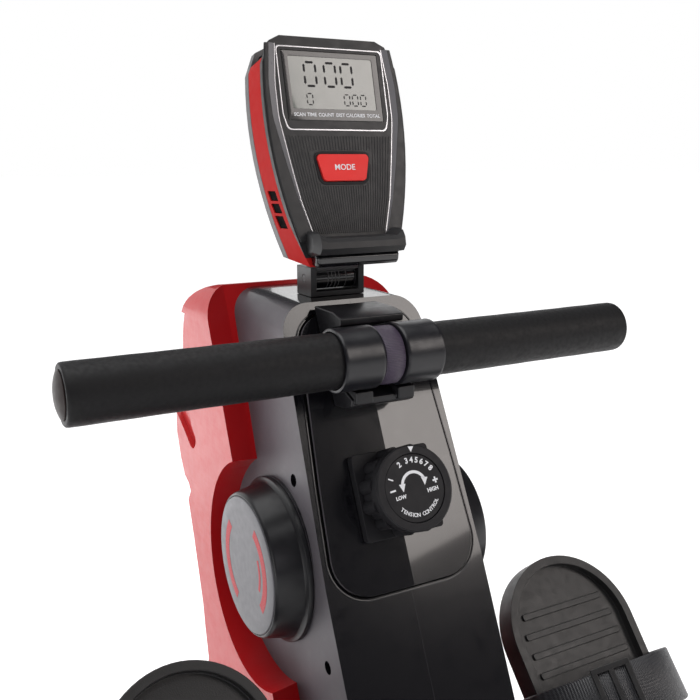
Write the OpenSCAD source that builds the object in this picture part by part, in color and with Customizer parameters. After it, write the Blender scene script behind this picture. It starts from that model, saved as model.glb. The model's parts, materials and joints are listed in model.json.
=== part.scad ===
// Folding magnetic rowing machine.
// Row frame: +X to the user's right, +Y away from the user, +Z up, floor at z = 0.
// Most of the tower is placed from the centre of the resting handle.

/* [Overall] */
// Height of the resting handle above the floor
handle_h = 560; // [555:1:565]
// Length of the seat rail, from the fold hinge
rail_len = 1240; // [1200:10:1300]
// Rise of the rail towards its rear end, degrees
rail_slope = 1; // [0.5:0.1:1.5]
// Width over the front feet
stance_w = 493; // [480:1:520]

/* [Handle] */
// Length of the handle over its end caps
handle_w = 432; // [400:1:460]
// Radius of the foam grips
grip_r = 19; // [17:0.5:19.5]
// Radius of the two plastic sleeves
sleeve_r = 21.75; // [21:0.05:21.9]
// Width of the pull strap
strap_w = 16; // [12:1:16]

/* [Tower] */
// Half width of the black casing beside the disc
casing_w = 64; // [63:0.5:65]
// Half width of the red shroud
shroud_w = 86; // [84:0.5:90]
// Wall thickness of the mouldings
wall = 3; // [2.5:0.5:3.5]
// Radius of the raised side disc
disc_r = 61; // [58:0.5:64]

/* [Drive] */
// Radius of the flywheel
flywheel_r = 90; // [84:1:91]
// Radius of the big belt pulley
pulley_r = 64; // [56:1:66]
// Radius of the strap wound on the drum
coil_r = 43; // [38:1:44]

/* [Seat] */
// Width of the seat pad
seat_w = 300; // [270:5:320]
// Depth of the seat pad
seat_d = 240; // [220:5:260]
// Distance of the seat centre from the fold hinge at the front stop
seat_start = 200; // [195:1:220]
// Travel of the seat
seat_travel = 840; // [700:10:840]

/* [Footplates] */
// Width of a footplate
plate_w = 120; // [110:2:124]
// Distance of a footplate's middle from the centre plane
plate_x = 160; // [158:1:170]
// Lean of the footplates from upright, degrees
plate_lean = 41; // [38:1:44]

/* [Console] */
// Tilt of the console face from upright, degrees
console_tilt = 14; // [10:1:16]
// Travel of the mode button
button_travel = 1.2; // [0.8:0.1:1.5]

/* [Hidden] */
$fn = 48;

// Places in the tower plane are [y, z] from the centre of the resting handle.
floor_z = -handle_h;
foot_y = 160;
wheel_at = [foot_y + 43, floor_z + 30];
wheel_r = 22;
hinge_at = [-300, 205 - handle_h];
lock_at = hinge_at + 44 * [cos(-60), sin(-60)];
end_cap_t = 12;

front_y = wheel_at[0] + wheel_r;
rear_y = hinge_at[0] - (rail_len + end_cap_t) * cos(rail_slope) - 32 * sin(rail_slope);
handle_y = -(front_y + rear_y) / 2;

drum_at = [61, -157];
disc_at = [51.5, -158];
bite_at = [52, -167];
flywheel_at = [34, -310];
guide_at = [66, -10.3];
pedal_at = [-67, -334];
magnet_at = [112, -232];
knob_at = [-8, -98];
screw_spots = [[27.5, -90], [-28, -205], [-100, -395], [88, -8]];

beam_w = 25;
plate_t = 4;
axle_r = 6;
bearing_r = 14;
running = 0.05;
boss_x = 52.5;
post_bore = 1.95;
belt_small_r = 20;
panel_lean = 25;
panel_slope = tan(panel_lean);

// Front panel line and the step line between casing and shroud
function panel_y(z) = 38 + panel_slope * z;
function step_y(z) = panel_y(z) + 98.5;
// Height of the raised front panel over the border round it
panel_step = 5.5;
// Fall of the front panel from its middle ridge to the sides
ridge = tan(3.5);
function border_y(z) = panel_y(z) + panel_step / cos(panel_lean);
casing_bottom = 132 - handle_h;
bite_r = 83.5;
// The strap, and the handle on it, run a little to the user's left
strap_x = -7;
// Turn of the shroud's front edge faces, so that they lean out to the sides
edge_slant = 24;
far = 320;

// Half widths of the covers, [z, x], from the bottom up to the rounded top corner
casing_half = [[-260, casing_w], [-150, casing_w], [8, casing_w - 6]];
shroud_half = [[-260, shroud_w + 2], [-150, shroud_w], [7, shroud_w - 2]];

// Half width of the console face at height z above the mode button
function console_w(z) = 56.1 - 0.00172 * pow(z - 38.5, 2);
console_low = -70;
console_high = 94;
console_d = 33;
// Depths of the red side strips
trim_depth = [4.2, 25.8];
console_at = [67.6, 124];
console_pin_at = [88, 43];
// The hinge pin seen from the console's own frame
console_hinge = let (d = console_pin_at - console_at, c = cos(console_tilt), s = sin(console_tilt))
    [d[0] * c - d[1] * s, d[0] * s + d[1] * c];
// Display opening: half width, lower edge and upper edge
window = [39, 34, 84];

knob_h = 29;
dial_r = 23.2;

plate_face = -28;

rail_h = 30;
rail_w = 30;
roller_r = 14;
roller_z = rail_h + 0.3 + roller_r;
lower_r = 12;
lower_z = -rail_h - 0.3 - lower_r;
carriage_l = 90;

// Middle of the tension cable, from the knob to the magnet bracket
cable_route = [[0, 2, -106], [-10, 1, -108], [-20, 0, -112], [-30, -3, -119], [-38, -7, -128],
               [-43, -12, -140], [-45, -18, -154], [-44, -24, -168], [-42, -25, -182], [-40, -16, -193],
               [-40, 0, -197], [-42, 20, -196], [-44, 40, -197], [-46, 60, -200], [-47, 78, -205],
               [-47, 94, -211]];

// ---- placing helpers ----
module tower() { translate([0, handle_y, handle_h]) children(); }
module at_strap() { tower() translate([strap_x, 0, 0]) children(); }
module at_yz(p) { translate([0, p[0], p[1]]) children(); }
module along_rail() { tower() at_yz(hinge_at) rotate([-rail_slope, 0, 0]) children(); }
module at_seat() { along_rail() translate([0, -seat_start, 0]) children(); }
module mirrored() { for (m = [0, 1]) mirror([m, 0, 0]) children(); }
module side(right) { mirror([right ? 0 : 1, 0, 0]) children(); }

// Extrudes a [y, z] outline along X, from x0 to x1
module slab_x(x0, x1) {
    translate([x0, 0, 0]) rotate([90, 0, 90]) linear_extrude(x1 - x0) children();
}
// Extrudes an [x, z] outline along -Y, from y0 back to y1
module slab_y(y0, y1) {
    translate([0, y0, 0]) rotate([90, 0, 0]) linear_extrude(y0 - y1) children();
}
module rod(r, x0, x1) { slab_x(x0, x1) circle(r); }
module ring(r_out, r_in, x0, x1) {
    slab_x(x0, x1) difference() { circle(r_out); circle(r_in); }
}
module rounded_block(size, r) {
    hull() for (x = [-1, 1], y = [-1, 1])
        translate([x * (size[0] / 2 - r), y * (size[1] / 2 - r), 0])
            cylinder(r = r, h = size[2], $fn = 32);
}

// ---- frame ----
module main_beam() {
    rear = [-262, -328];
    outer = [[175, -485], [175, -435], [-116, -435], [rear[0], rear[1]], [rear[0], -382], [-130, -485]];
    inner = [[172, -482], [172, -438], [-117, -438], [-259, -334], [-259, -377], [-131, -482]];
    color("#1b1b1d") tower() difference() {
        union() {
            difference() {
                slab_x(-beam_w, beam_w) polygon(outer);
                slab_x(-beam_w + wall, beam_w - wall) polygon(inner);
            }
            mirrored() slab_x(beam_w - 0.5, beam_w + 4.5) hinge_cheek();
        }
        at_yz(hinge_at) rod(axle_r, -60, 60);
        at_yz(lock_at) rod(5 + running, -60, 60);
    }
}
module hinge_cheek() {
    translate(hinge_at) circle(28);
    translate(lock_at) circle(12);
    polygon([[-300, -333], [-262, -336], [-205, -376], [-205, -418], [-262, -388],
             [-280, -400], [-300, -379]]);
}

module mast() {
    plate = [[-80, -480], [-80, -420], [-108, -395], [52, 0], [60, 22], [112, 22], [130, -430], [130, -480]];
    color("#2a2a2c") tower() difference() {
        union() {
            mirrored() slab_x(beam_w, beam_w + plate_t) polygon(plate);
            slab_x(-beam_w - 1, beam_w + 1) polygon([[66, 11], [66, 15], [112, 15], [112, 11]]);
            at_yz(magnet_at) rod(5, -55, -beam_w - 1);
            at_yz(drum_at) ring(20, bearing_r + 2, -36, -beam_w - 1);
            mirrored() for (p = screw_spots) at_yz(p) ring(6, post_bore + running, beam_w + 1, boss_x);
        }
        at_yz(drum_at) rod(bearing_r, -31, 31);
        at_yz(flywheel_at) rod(bearing_r, -31, 31);
        at_yz(pedal_at) rod(10, -31, 31);
        at_yz(guide_at) rod(4 + running, -31, 31);
    }
}

module front_stabilizer() {
    color("#1b1b1d") tower() {
        difference() {
            translate([-215, foot_y - 35, floor_z + 18]) cube([430, 70, 40]);
            translate([-216, foot_y - 32, floor_z + 21]) cube([432, 64, 34]);
        }
        translate([-30, foot_y - 25, floor_z + 58]) cube([60, 40, 17]);
    }
}

module front_feet() {
    tip = stance_w / 2;
    color("#141416") tower() mirrored() difference() {
        union() {
            hull() for (y = [-30, 30], z = [6, 58])
                translate([215, foot_y + y, floor_z + z]) rotate([0, 90, 0])
                    cylinder(r = 6, h = tip - 215, $fn = 32);
            translate([190, foot_y - 36, floor_z]) cube([tip - 196, 72, 17.8]);
            slab_x(215, tip) polygon([[foot_y + 30, floor_z + 18], [foot_y + 30, floor_z + 42],
                [foot_y + 50, floor_z + 40], [foot_y + 50, floor_z + 20]]);
        }
        slab_x(222, 240) polygon([[foot_y + 18, floor_z - 1], [foot_y + 18, floor_z + 56],
            [foot_y + 70, floor_z + 56], [foot_y + 70, floor_z - 1]]);
        at_yz(wheel_at) rod(4 + running, 210, 260);
    }
}

module transport_wheel(right) {
    color("#202022") tower() side(right) at_yz(wheel_at) {
        difference() {
            rod(wheel_r, 223, 239);
            ring(wheel_r - 5, 9, 235, 240);
        }
        rod(4, 217, 245);
    }
}
module transport_wheel_left() { transport_wheel(false); }
module transport_wheel_right() { transport_wheel(true); }

module hinge_bolt() {
    color("silver") tower() at_yz(hinge_at) {
        rod(axle_r, -40, 40);
        mirrored() slab_x(34.6, 42) circle(11, $fn = 6);
    }
}

module lock_knob() {
    color("#161618") tower() at_yz(lock_at) {
        rod(5, -40, 40);
        rod(9, -44, -35);
        rod(14, 35, 42);
        slab_x(40, 60) union() {
            circle(15);
            for (a = [0 : 72 : 359]) rotate(a) translate([15, 0]) circle(6.5);
        }
    }
}

// ---- rail ----
module rail_outline(inset) {
    w = rail_w - inset;
    h = rail_h - inset;
    g = 7;
    polygon([[-w, -h], [w, -h], [w, -g - inset], [w - 7, -g - inset], [w - 7, g + inset], [w, g + inset],
             [w, h], [-w, h], [-w, g + inset], [-w + 7, g + inset], [-w + 7, -g - inset], [-w, -g - inset]]);
}
module rail() {
    color("#c9cbcd") along_rail() slab_y(-34, -rail_len) difference() {
        rail_outline(0);
        rail_outline(3);
    }
}

module rail_bracket() {
    slot_r = 44;
    color("#1b1b1d") along_rail() {
        mirrored() difference() {
            slab_x(30, 34) difference() {
                union() {
                    circle(28);
                    polygon([[0, -27], [-140, -27], [-140, 27], [0, 27]]);
                    intersection() {
                        circle(56);
                        polygon([[0, 0], [26, -90], [90, -60], [90, 60], [40, 56]]);
                    }
                }
                circle(axle_r + running);
                difference() {
                    intersection() {
                        circle(slot_r + 5.5);
                        polygon([[0, 0], [100 * cos(-60), 100 * sin(-60)], [141, 0],
                                 [100 * cos(32), 100 * sin(32)]]);
                    }
                    circle(slot_r - 5.5);
                }
                for (a = [-60, 32]) translate(slot_r * [cos(a), sin(a)]) circle(6);
            }
            for (y = [-60, -120]) translate([0, y, 0]) rod(4, 29, 35);
        }
        for (y = [-60, -120]) mirrored() translate([0, y, 0]) {
            rod(4, 23.2, 34);
            slab_x(34, 36) circle(6, $fn = 6);
        }
    }
}

module rail_end_cap() {
    color("#141416") along_rail() {
        slab_y(-rail_len, -rail_len - end_cap_t) difference() {
            square([64, 64], center = true);
            for (x = [-1, 1], y = [-1, 1]) translate([x * 32, y * 32])
                rotate(45) square(8, center = true);
        }
        slab_y(-rail_len + 20, -rail_len) square([40, 50], center = true);
    }
}

module seat_stops() {
    color("#111112") along_rail() for (y = [-seat_start + carriage_l + 0.4,
            -seat_start - seat_travel - carriage_l - 0.4 - 14])
        translate([0, y + 7, rail_h]) rounded_block([34, 14, 14], 4);
}

module rear_leg() {
    leg = -1180;
    leg_y = hinge_at[0] + leg * cos(rail_slope);
    color("#1b1b1d") {
        along_rail() translate([-30, leg - 32, -rail_h - 5]) cube([60, 64, 5]);
        tower() difference() {
            union() {
                translate([-25, leg_y - 20, floor_z + 40]) cube([50, 40, 153]);
                translate([-190, leg_y - 25, floor_z + 15]) cube([380, 50, 35]);
            }
            translate([-22, leg_y - 17, floor_z + 51]) cube([44, 34, 134]);
            translate([-191, leg_y - 22, floor_z + 18]) cube([382, 44, 29]);
        }
    }
}

module rear_feet() {
    leg_y = hinge_at[0] - 1180 * cos(rail_slope);
    color("#141416") tower() mirrored() {
        translate([190, leg_y - 30, floor_z]) cube([15, 60, 55]);
        translate([150, leg_y - 30, floor_z]) cube([41, 60, 14.8]);
    }
}

// ---- seat ----
module seat_carriage() {
    color("#1d1d1f") at_seat() difference() {
        union() {
            translate([-41, -carriage_l, 60]) cube([82, 2 * carriage_l, 4]);
            mirrored() slab_x(37, 41) polygon([[-carriage_l, 61], [carriage_l, 61], [carriage_l, 20],
                [40, -52], [-40, -52], [-carriage_l, 20]]);
            for (y = [-carriage_l, carriage_l - 4]) translate([-38, y, 34]) cube([76, 4, 28]);
            translate([0, 0, 64]) rounded_block([230, 180, 5], 20);
        }
        for (y = [-60, 60]) translate([0, y, roller_z]) rod(4, -50, 50);
        translate([0, 0, lower_z]) rod(4, -50, 50);
    }
}

module seat_pad() {
    color("#1a1a1b") at_seat() translate([0, 0, 69]) hull() {
        for (x = [-1, 1], y = [-1, 1]) {
            translate([x * (seat_w / 2 - 45), y * (seat_d / 2 - 45), 0]) cylinder(r = 35, h = 8, $fn = 32);
            translate([x * (seat_w / 2 - 45), y * (seat_d / 2 - 45), 14]) cylinder(r = 45, h = 22, $fn = 32);
            translate([x * (seat_w / 2 - 50), y * (seat_d / 2 - 50), 36]) cylinder(r = 38, h = 16, $fn = 32);
        }
    }
}

module roller_axles() {
    color("silver") at_seat() {
        for (y = [-60, 60]) translate([0, y, roller_z]) {
            rod(4, -41, 41);
            mirrored() slab_x(41, 45) circle(7, $fn = 6);
        }
        translate([0, 0, lower_z]) {
            rod(4, -41, 41);
            mirrored() slab_x(41, 45) circle(7, $fn = 6);
        }
    }
}
module upper_pair(y) {
    color("#e4e4e0") at_seat() translate([0, y, roller_z]) {
        mirrored() ring(roller_r, 4 + running, 12, 26);
        ring(7, 4 + running, -13, 13);
    }
}
module front_rollers() { upper_pair(60); }
module rear_rollers() { upper_pair(-60); }
module lower_rollers() {
    color("#e4e4e0") at_seat() translate([0, 0, lower_z]) {
        ring(lower_r, 4 + running, -26, 26);
    }
}

// ---- footplates ----
module pedal_axle() {
    color("silver") tower() at_yz(pedal_at) {
        rod(10, -214, 214);
        mirrored() rod(15, 94, 99);
        mirrored() rod(14, 214, 222);
    }
}
// Local frame at the axle: z runs up the plate to the toe, y runs away from the user
module on_plate(right) {
    tower() side(right) at_yz(pedal_at) rotate([-plate_lean, 0, 0]) translate([plate_x, 0, 0]) children();
}
module plate_outline(inset) {
    hull() {
        translate([0, 157 - plate_w / 2]) circle(plate_w / 2 - inset, $fn = 64);
        translate([0, -150 + plate_w / 2 - 4]) circle(plate_w / 2 - 4 - inset, $fn = 64);
    }
}
module footplate(right) {
    color("#19191b") on_plate(right) difference() {
        union() {
            translate([0, plate_face + 12, 0]) rotate([90, 0, 0]) linear_extrude(12) plate_outline(0);
            translate([0, plate_face, 0]) rotate([90, 0, 0]) linear_extrude(7) difference() {
                plate_outline(0);
                plate_outline(7);
            }
            difference() {
                translate([0, plate_face, 0]) rotate([90, 0, 0]) linear_extrude(26) difference() {
                    plate_outline(0);
                    plate_outline(5);
                }
                translate([-100, plate_face - 40, -112]) cube([200, 80, 400]);
            }
            slab_x(-45, 45) union() {
                circle(16);
                polygon([[-17, -34], [-17, 34], [6, 14], [6, -14]]);
            }
        }
        rod(10 + running, -60, 60);
    }
}
module footplate_left() { footplate(false); }
module footplate_right() { footplate(true); }

module foot_strap(right) {
    arch_r = plate_w / 2 + 0.3;
    color("#26262a") on_plate(right) translate([0, 0, 24]) linear_extrude(38) difference() {
        union() {
            translate([0, plate_face]) circle(arch_r + 2.5);
            translate([-arch_r - 2.5, plate_face]) square([2 * arch_r + 5, 9]);
        }
        translate([0, plate_face]) circle(arch_r);
        translate([-arch_r, plate_face]) square([2 * arch_r, 10]);
        translate([-arch_r - 4, plate_face + 9]) square([2 * arch_r + 8, 80]);
    }
}
module foot_strap_left() { foot_strap(false); }
module foot_strap_right() { foot_strap(true); }

// ---- drive ----
module strap_drum() {
    half = strap_w / 2 + 1;
    color("#35353a") at_strap() at_yz(drum_at) {
        difference() {
            union() {
                rod(28, -half, half);
                mirrored() rod(50, half, half + 3);
            }
            rod(axle_r, -20, 20);
        }
    }
    color("#4a3f4d") at_strap() at_yz(drum_at) ring(coil_r, 28, 0.5 - half, half - 0.5);
}
module drum_axle() { color("silver") tower() at_yz(drum_at) rod(axle_r, -56, 56); }

module bearings() {
    color("silver") tower() for (p = [drum_at, flywheel_at])
        at_yz(p) mirrored() ring(bearing_r, axle_r + running, 22, 31);
}

module recoil_spring() {
    turns = 5;
    inner = 9;
    pitch = 4;
    steps = 24;
    function spiral(i, off) = let (a = 360 * i / steps, r = inner + pitch * i / steps + off)
        [r * cos(a), r * sin(a)];
    color("#55585c") tower() at_yz(drum_at) {
        slab_x(-51, -41) polygon(concat(
            [for (i = [0 : turns * steps]) spiral(i, 0)],
            [for (i = [turns * steps : -1 : 0]) spiral(i, 1.2)]));
        difference() {
            rod(34, -54, -36);
            rod(32, -52.5, -38);
            rod(8, -60, -30);
        }
    }
}

module guide_roller() {
    color("#d8d8d4") {
        at_strap() at_yz(guide_at) {
            rod(9, -strap_w / 2 - 1, strap_w / 2 + 1);
            mirrored() rod(11.5, strap_w / 2 + 1, strap_w / 2 + 3);
        }
        tower() at_yz(guide_at) rod(4, -beam_w - plate_t, beam_w + plate_t);
    }
}

module belt_pulley() {
    color("#2b2b2e") tower() at_yz(drum_at) difference() {
        union() {
            rod(18, 36, 52);
            ring(pulley_r, 16, 42, 46);
            ring(pulley_r, pulley_r - 8, 37, 51);
        }
        rod(axle_r + running, 30, 60);
        for (a = [0 : 60 : 300]) rotate([a, 0, 0]) translate([0, 42, 0]) rod(11, 30, 60);
    }
}

module drive_belt() {
    color("#151516") tower() slab_x(38, 50) difference() {
        hull() {
            translate(drum_at) circle(pulley_r + 3, $fn = 96);
            translate(flywheel_at) circle(belt_small_r + 3, $fn = 48);
        }
        hull() {
            translate(drum_at) circle(pulley_r + 0.5, $fn = 96);
            translate(flywheel_at) circle(belt_small_r + 0.5, $fn = 48);
        }
    }
}

module flywheel() {
    color("#707377") tower() at_yz(flywheel_at) difference() {
        union() {
            ring(flywheel_r, flywheel_r - 24, -58, -36);
            ring(flywheel_r - 20, 18, -50, -44);
            rod(22, -58, -36);
        }
        rod(axle_r, -70, -30);
    }
}
module flywheel_axle() {
    color("silver") tower() at_yz(flywheel_at) {
        rod(axle_r, -60, 56);
        rod(belt_small_r, 37, 51);
    }
}

module magnet_bracket() {
    shoe_r = flywheel_r + 6;
    reach = 200;
    to_wheel = flywheel_at - magnet_at;
    color("#3a3c40") tower() at_yz(magnet_at) difference() {
        union() {
            rod(12, -56, -34);
            translate([0, to_wheel[0], to_wheel[1]]) slab_x(-56, -34) intersection() {
                difference() { circle(shoe_r + 7, $fn = 96); circle(shoe_r, $fn = 96); }
                polygon([[0, 0], reach * [cos(98), sin(98)], reach * [cos(70), sin(70)],
                         reach * [cos(40), sin(40)]]);
            }
            slab_x(-50, -44) polygon([[4, 8], [-9, 6], [-14, 17], [-6, 20]]);
        }
        rod(5 + running, -70, -20);
    }
}

module tension_cable() {
    sides = 8;
    r = 2.5;
    n = len(cable_route);
    function unit(v) = v / norm(v);
    function heading(i) = unit(cable_route[min(i + 1, n - 1)] - cable_route[max(i - 1, 0)]);
    function ring_at(i) = let (t = heading(i), u = unit(cross(t, [0.3, 0.5, 1])), v = cross(t, u))
        [for (k = [0 : sides - 1]) cable_route[i] + r * (cos(360 * k / sides) * u + sin(360 * k / sides) * v)];
    color("#17171a") tower() polyhedron(
        points = [for (i = [0 : n - 1]) each ring_at(i)],
        faces = concat(
            [[for (k = [0 : sides - 1]) k]],
            [for (i = [0 : n - 2], k = [0 : sides - 1]) let (a = i * sides + k, b = i * sides + (k + 1) % sides)
                [a, a + sides, b + sides, b]],
            [[for (k = [sides - 1 : -1 : 0]) (n - 1) * sides + k]]));
}

// ---- tower covers ----
// Side outline of the whole column
module column_outline() {
    polygon(concat(
        [[-92, casing_bottom], [-122, casing_bottom + 18], [border_y(-375), -375],
         [border_y(20), 20], [58, 30]],
        [for (a = [90 : -10 : 0]) [150 + 54 * cos(a), -27 + 60 * sin(a)]],
        [[217, -88], [217, -104], [208, -125], [199, -138], [189, -142], [184, -148], [191, -158],
         [178, -188], [158, -240], [148, -285], [150, -330], [160, -375], [176, casing_bottom]]));
}
// Hand scoop on the back edge of each side, open to the back
module scoop_outline() {
    polygon([[184, 6], [173, -4], [167, -24], [170, -50], [180, -74], [178, -87], [168, -95], [167, -98],
             [169, -103], [173, -106.5], [177, -107.5], [182, -106], [200, -95], [230, -79], [230, 6]]);
}
// Part of the column that the black casing shows
module casing_region() {
    polygon([[-400, -500], [step_y(-500), -500], [step_y(60), 60], [-400, 60]]);
    translate(bite_at) circle(bite_r, $fn = 96);
}
// Everything in front of the shroud: the black casing, and slanted edge faces beside it
module before_shroud(gap) {
    slab_x(-1, casing_w + gap) offset(delta = gap) casing_region();
    at_yz(bite_at) rod(bite_r + gap, 0, far, $fn = 96);
    at_yz([step_y(0), 0]) rotate([-panel_lean, 0, 0]) translate([casing_w, 0, 0]) rotate([0, 0, -edge_slant])
        translate([0, gap - far, -2 * far]) cube([far, far, 3 * far]);
}
module inner_column() { offset(delta = -wall) column_outline(); }

// Front outline, [x, z], of one half
module half_front(half, corner, inset) {
    w_top = half[2][1] - inset;
    z_top = half[2][0] + corner;
    translate([0, -inset]) polygon(concat(
        [[-10, casing_bottom - 20], [half[0][1] - inset, casing_bottom - 20]],
        [for (p = half) [p[1] - inset, p[0]]],
        [for (a = [10 : 10 : 90]) [w_top - corner + corner * cos(a), z_top - corner + corner * sin(a)]],
        [[-10, z_top]]));
}
module casing_front(inset) { half_front(casing_half, 22, inset); }
module shroud_front(inset) { half_front(shroud_half, 26, inset); }
// Raised front panel of one half, [x, s], where s runs up the panel from the knob
module panel_outline() {
    low_r = 27;
    top_r = 20;
    polygon(concat(
        [[0, -65]],
        [for (a = [-90 : 10 : 0]) [30 + low_r * cos(a), -38 + low_r * sin(a)]],
        [[54.6, 11], [50, 74]],
        [for (a = [0 : 10 : 90]) [26.5 + top_r * cos(a), 113 + top_r * sin(a)]],
        [[0, 133]]));
}
// Everything behind the ridged face of the front panel, from the knob's own frame
module behind_ridge(gap) {
    reach = 70;
    slab_y(160, -80) polygon([[-reach, gap - ridge * reach], [0, gap], [reach, gap - ridge * reach],
                              [reach, -30], [-reach, -30]]);
}
// The mast comes out through the open bottom between the two sides
module mast_opening() {
    translate([-1, -85, casing_bottom - 1]) cube([beam_w + plate_t + 2, 220, wall + 2]);
}

module casing(right) {
    color("#101012") tower() side(right) difference() {
        union() {
            difference() {
                intersection() {
                    slab_x(0, casing_w + 4) intersection() { column_outline(); casing_region(); }
                    slab_y(far, -far) casing_front(0);
                }
                intersection() {
                    slab_x(-1, casing_w + 4) inner_column();
                    slab_y(far, -far) casing_front(wall);
                }
            }
            for (p = screw_spots) at_yz(p) rod(8, boss_x, lookup(p[1], casing_half) - wall + 0.5);
            at_yz(disc_at) rod(disc_r, casing_w - 6, casing_w);
            at_yz(knob_at) rotate([90 - panel_lean, 0, 0]) intersection() {
                translate([0, 0, -panel_step - 1]) linear_extrude(panel_step + 2) panel_outline();
                behind_ridge(0);
            }
        }
        mast_opening();
        translate([-1, 0, -7]) cube([(right ? 1 : -1) * strap_x + strap_w / 2 + 3, 80, 14]);
        translate([-1, 78, 20]) cube([17, 20, 20]);
        at_yz(pedal_at) rod(16, 40, 80);
        at_yz(disc_at) rod(disc_r - 3, 50, 80);
        for (p = screw_spots) at_yz(p) {
            rod(4.6, boss_x + 1.5, 80);
            rod(2.2, boss_x - 1, boss_x + 2);
        }
        at_yz(knob_at) rotate([-panel_lean, 0, 0]) translate([-1, -15, -4]) cube([5, 30, 8]);
    }
}
module casing_left() { casing(false); }
module casing_right() { casing(true); }

module shroud(right) {
    scoop = 5;
    color("#b01c1f") tower() side(right) difference() {
        intersection() {
            slab_x(0, shroud_w + 4) column_outline();
            slab_y(far, -far) shroud_front(0);
        }
        before_shroud(0);
        difference() {
            intersection() {
                slab_x(-1, shroud_w + 4) inner_column();
                slab_y(far, -far) shroud_front(wall);
            }
            before_shroud(wall);
            slab_x(shroud_w - scoop - wall, shroud_w) offset(delta = wall) scoop_outline();
        }
        slab_x(shroud_w - scoop, shroud_w + 5) scoop_outline();
        intersection() {
            slab_x(-1, shroud_w) inner_column();
            slab_y(far, -far) casing_front(wall);
        }
        mast_opening();
    }
}
module shroud_left() { shroud(false); }
module shroud_right() { shroud(true); }

module side_disc(right) {
    face = 90;
    color("#8d8d90") tower() side(right) at_yz(disc_at) rotate([0, 90, 0]) rotate_extrude($fn = 96)
        polygon([[0, face - 3], [disc_r - 14, face - 3], [disc_r - 9, 70], [disc_r - 9, 58],
                 [disc_r - 3.2, 58], [disc_r - 3.2, casing_w + 0.3], [disc_r, casing_w + 0.3],
                 [disc_r, 68], [disc_r - 4, 70], [disc_r - 8, face - 3], [disc_r - 10, face], [0, face]]);
}
module side_disc_left() { side_disc(false); }
module side_disc_right() { side_disc(true); }

module casing_screws() {
    color("#303034") tower() mirrored() for (p = screw_spots) at_yz(p) difference() {
        union() {
            rod(4.4, boss_x + 1.5, boss_x + 5);
            rod(post_bore, boss_x - 10, boss_x + 2);
        }
        translate([boss_x + 4, -3, -0.6]) cube([5, 6, 1.2]);
    }
}

module handle_cradle() {
    half = 25;
    ear = [10, 23];
    seat_r = sleeve_r + 0.55;
    function back(z) = panel_y(z) + 3;
    color("#121214") difference() {
        at_strap() difference() {
            union() {
                slab_x(-half, half) polygon([[12, 20], [12, 25], [24, 28], [back(26), 28], [back(22), 22],
                    [back(-38), -38], [4, -36], [-3, -33], [-4, -28], [4, -25], [24, -16], [30, 0], [26, 16]]);
                mirrored() slab_x(ear[0], ear[1])
                    polygon([[-7, -31], [-7, -21], [16, -10], [30, -10], [24, -32]]);
            }
            slab_x(-50, 50) circle(seat_r);
            translate([-50, -60, -seat_r]) cube([100, 60, 2 * seat_r]);
            translate([-strap_w / 2 - 1.5, 0, -6]) cube([strap_w + 3, 60, 12]);
        }
        tower() at_yz(knob_at) rotate([90 - panel_lean, 0, 0]) behind_ridge(0.3);
    }
}

// Local frame of the knob: z runs out of the front panel
module on_panel() { tower() at_yz(knob_at) rotate([90 - panel_lean, 0, 0]) children(); }
module knob_base() {
    color("#131315") on_panel() {
        difference() {
            translate([0, 0, -3]) rounded_block([62, 60, 8], 3);
            behind_ridge(0.3);
            translate([0, 0, -1]) cylinder(r = 3, h = 4);
        }
        translate([0, 0, 4]) cylinder(r = axle_r, h = 20);
        translate([0, 0, 22]) cylinder(r = dial_r, h = knob_h - 22.6, $fn = 96);
    }
}
module tension_knob() {
    lobes = 12;
    color("#18181a") on_panel() difference() {
        union() {
            translate([0, 0, 5.5]) linear_extrude(16) union() {
                circle(27.5);
                for (i = [0 : lobes - 1]) rotate(360 * i / lobes + 15) translate([26, 0]) circle(5);
            }
            translate([0, 0, 20]) cylinder(r = 29.4, h = knob_h - 20.8, $fn = 96);
            translate([0, 0, knob_h - 1]) cylinder(r1 = 29.4, r2 = 28.4, h = 1, $fn = 96);
        }
        translate([0, 0, 21.5]) cylinder(r = dial_r + 0.3, h = 20, $fn = 96);
        translate([0, 0, 1]) cylinder(r = axle_r + running, h = 40);
    }
}

// ---- console ----
// Local frame on the face, at the mode button: z runs up the face, y runs into the console
module on_console() { tower() at_yz(console_at) rotate([-console_tilt, 0, 0]) children(); }
module console_outline(inset) {
    step = 12;
    right = [for (z = [console_low : step : console_high - 10])
        [console_w(z) - inset, max(z, console_low + inset)]];
    top = [[console_w(console_high) - 4 - inset, console_high - 4 - inset],
           [console_w(console_high) - 12 - inset, console_high - inset]];
    half = concat(right, top);
    polygon(concat(half, [for (i = [len(half) - 1 : -1 : 0]) [-half[i][0], half[i][1]]]));
}
// Side wedge at the foot of the face, where the red strips come forward
module trim_wedge(gap) {
    intersection() {
        slab_y(10, -3) difference() { console_outline(-1); console_outline(4.6 + gap); }
        slab_x(-80, 80) polygon([[trim_depth[0], -36 + gap], [-1.6, console_low - 4], [10, console_low - 4],
                                 [10, -36 + gap]]);
    }
}
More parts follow.
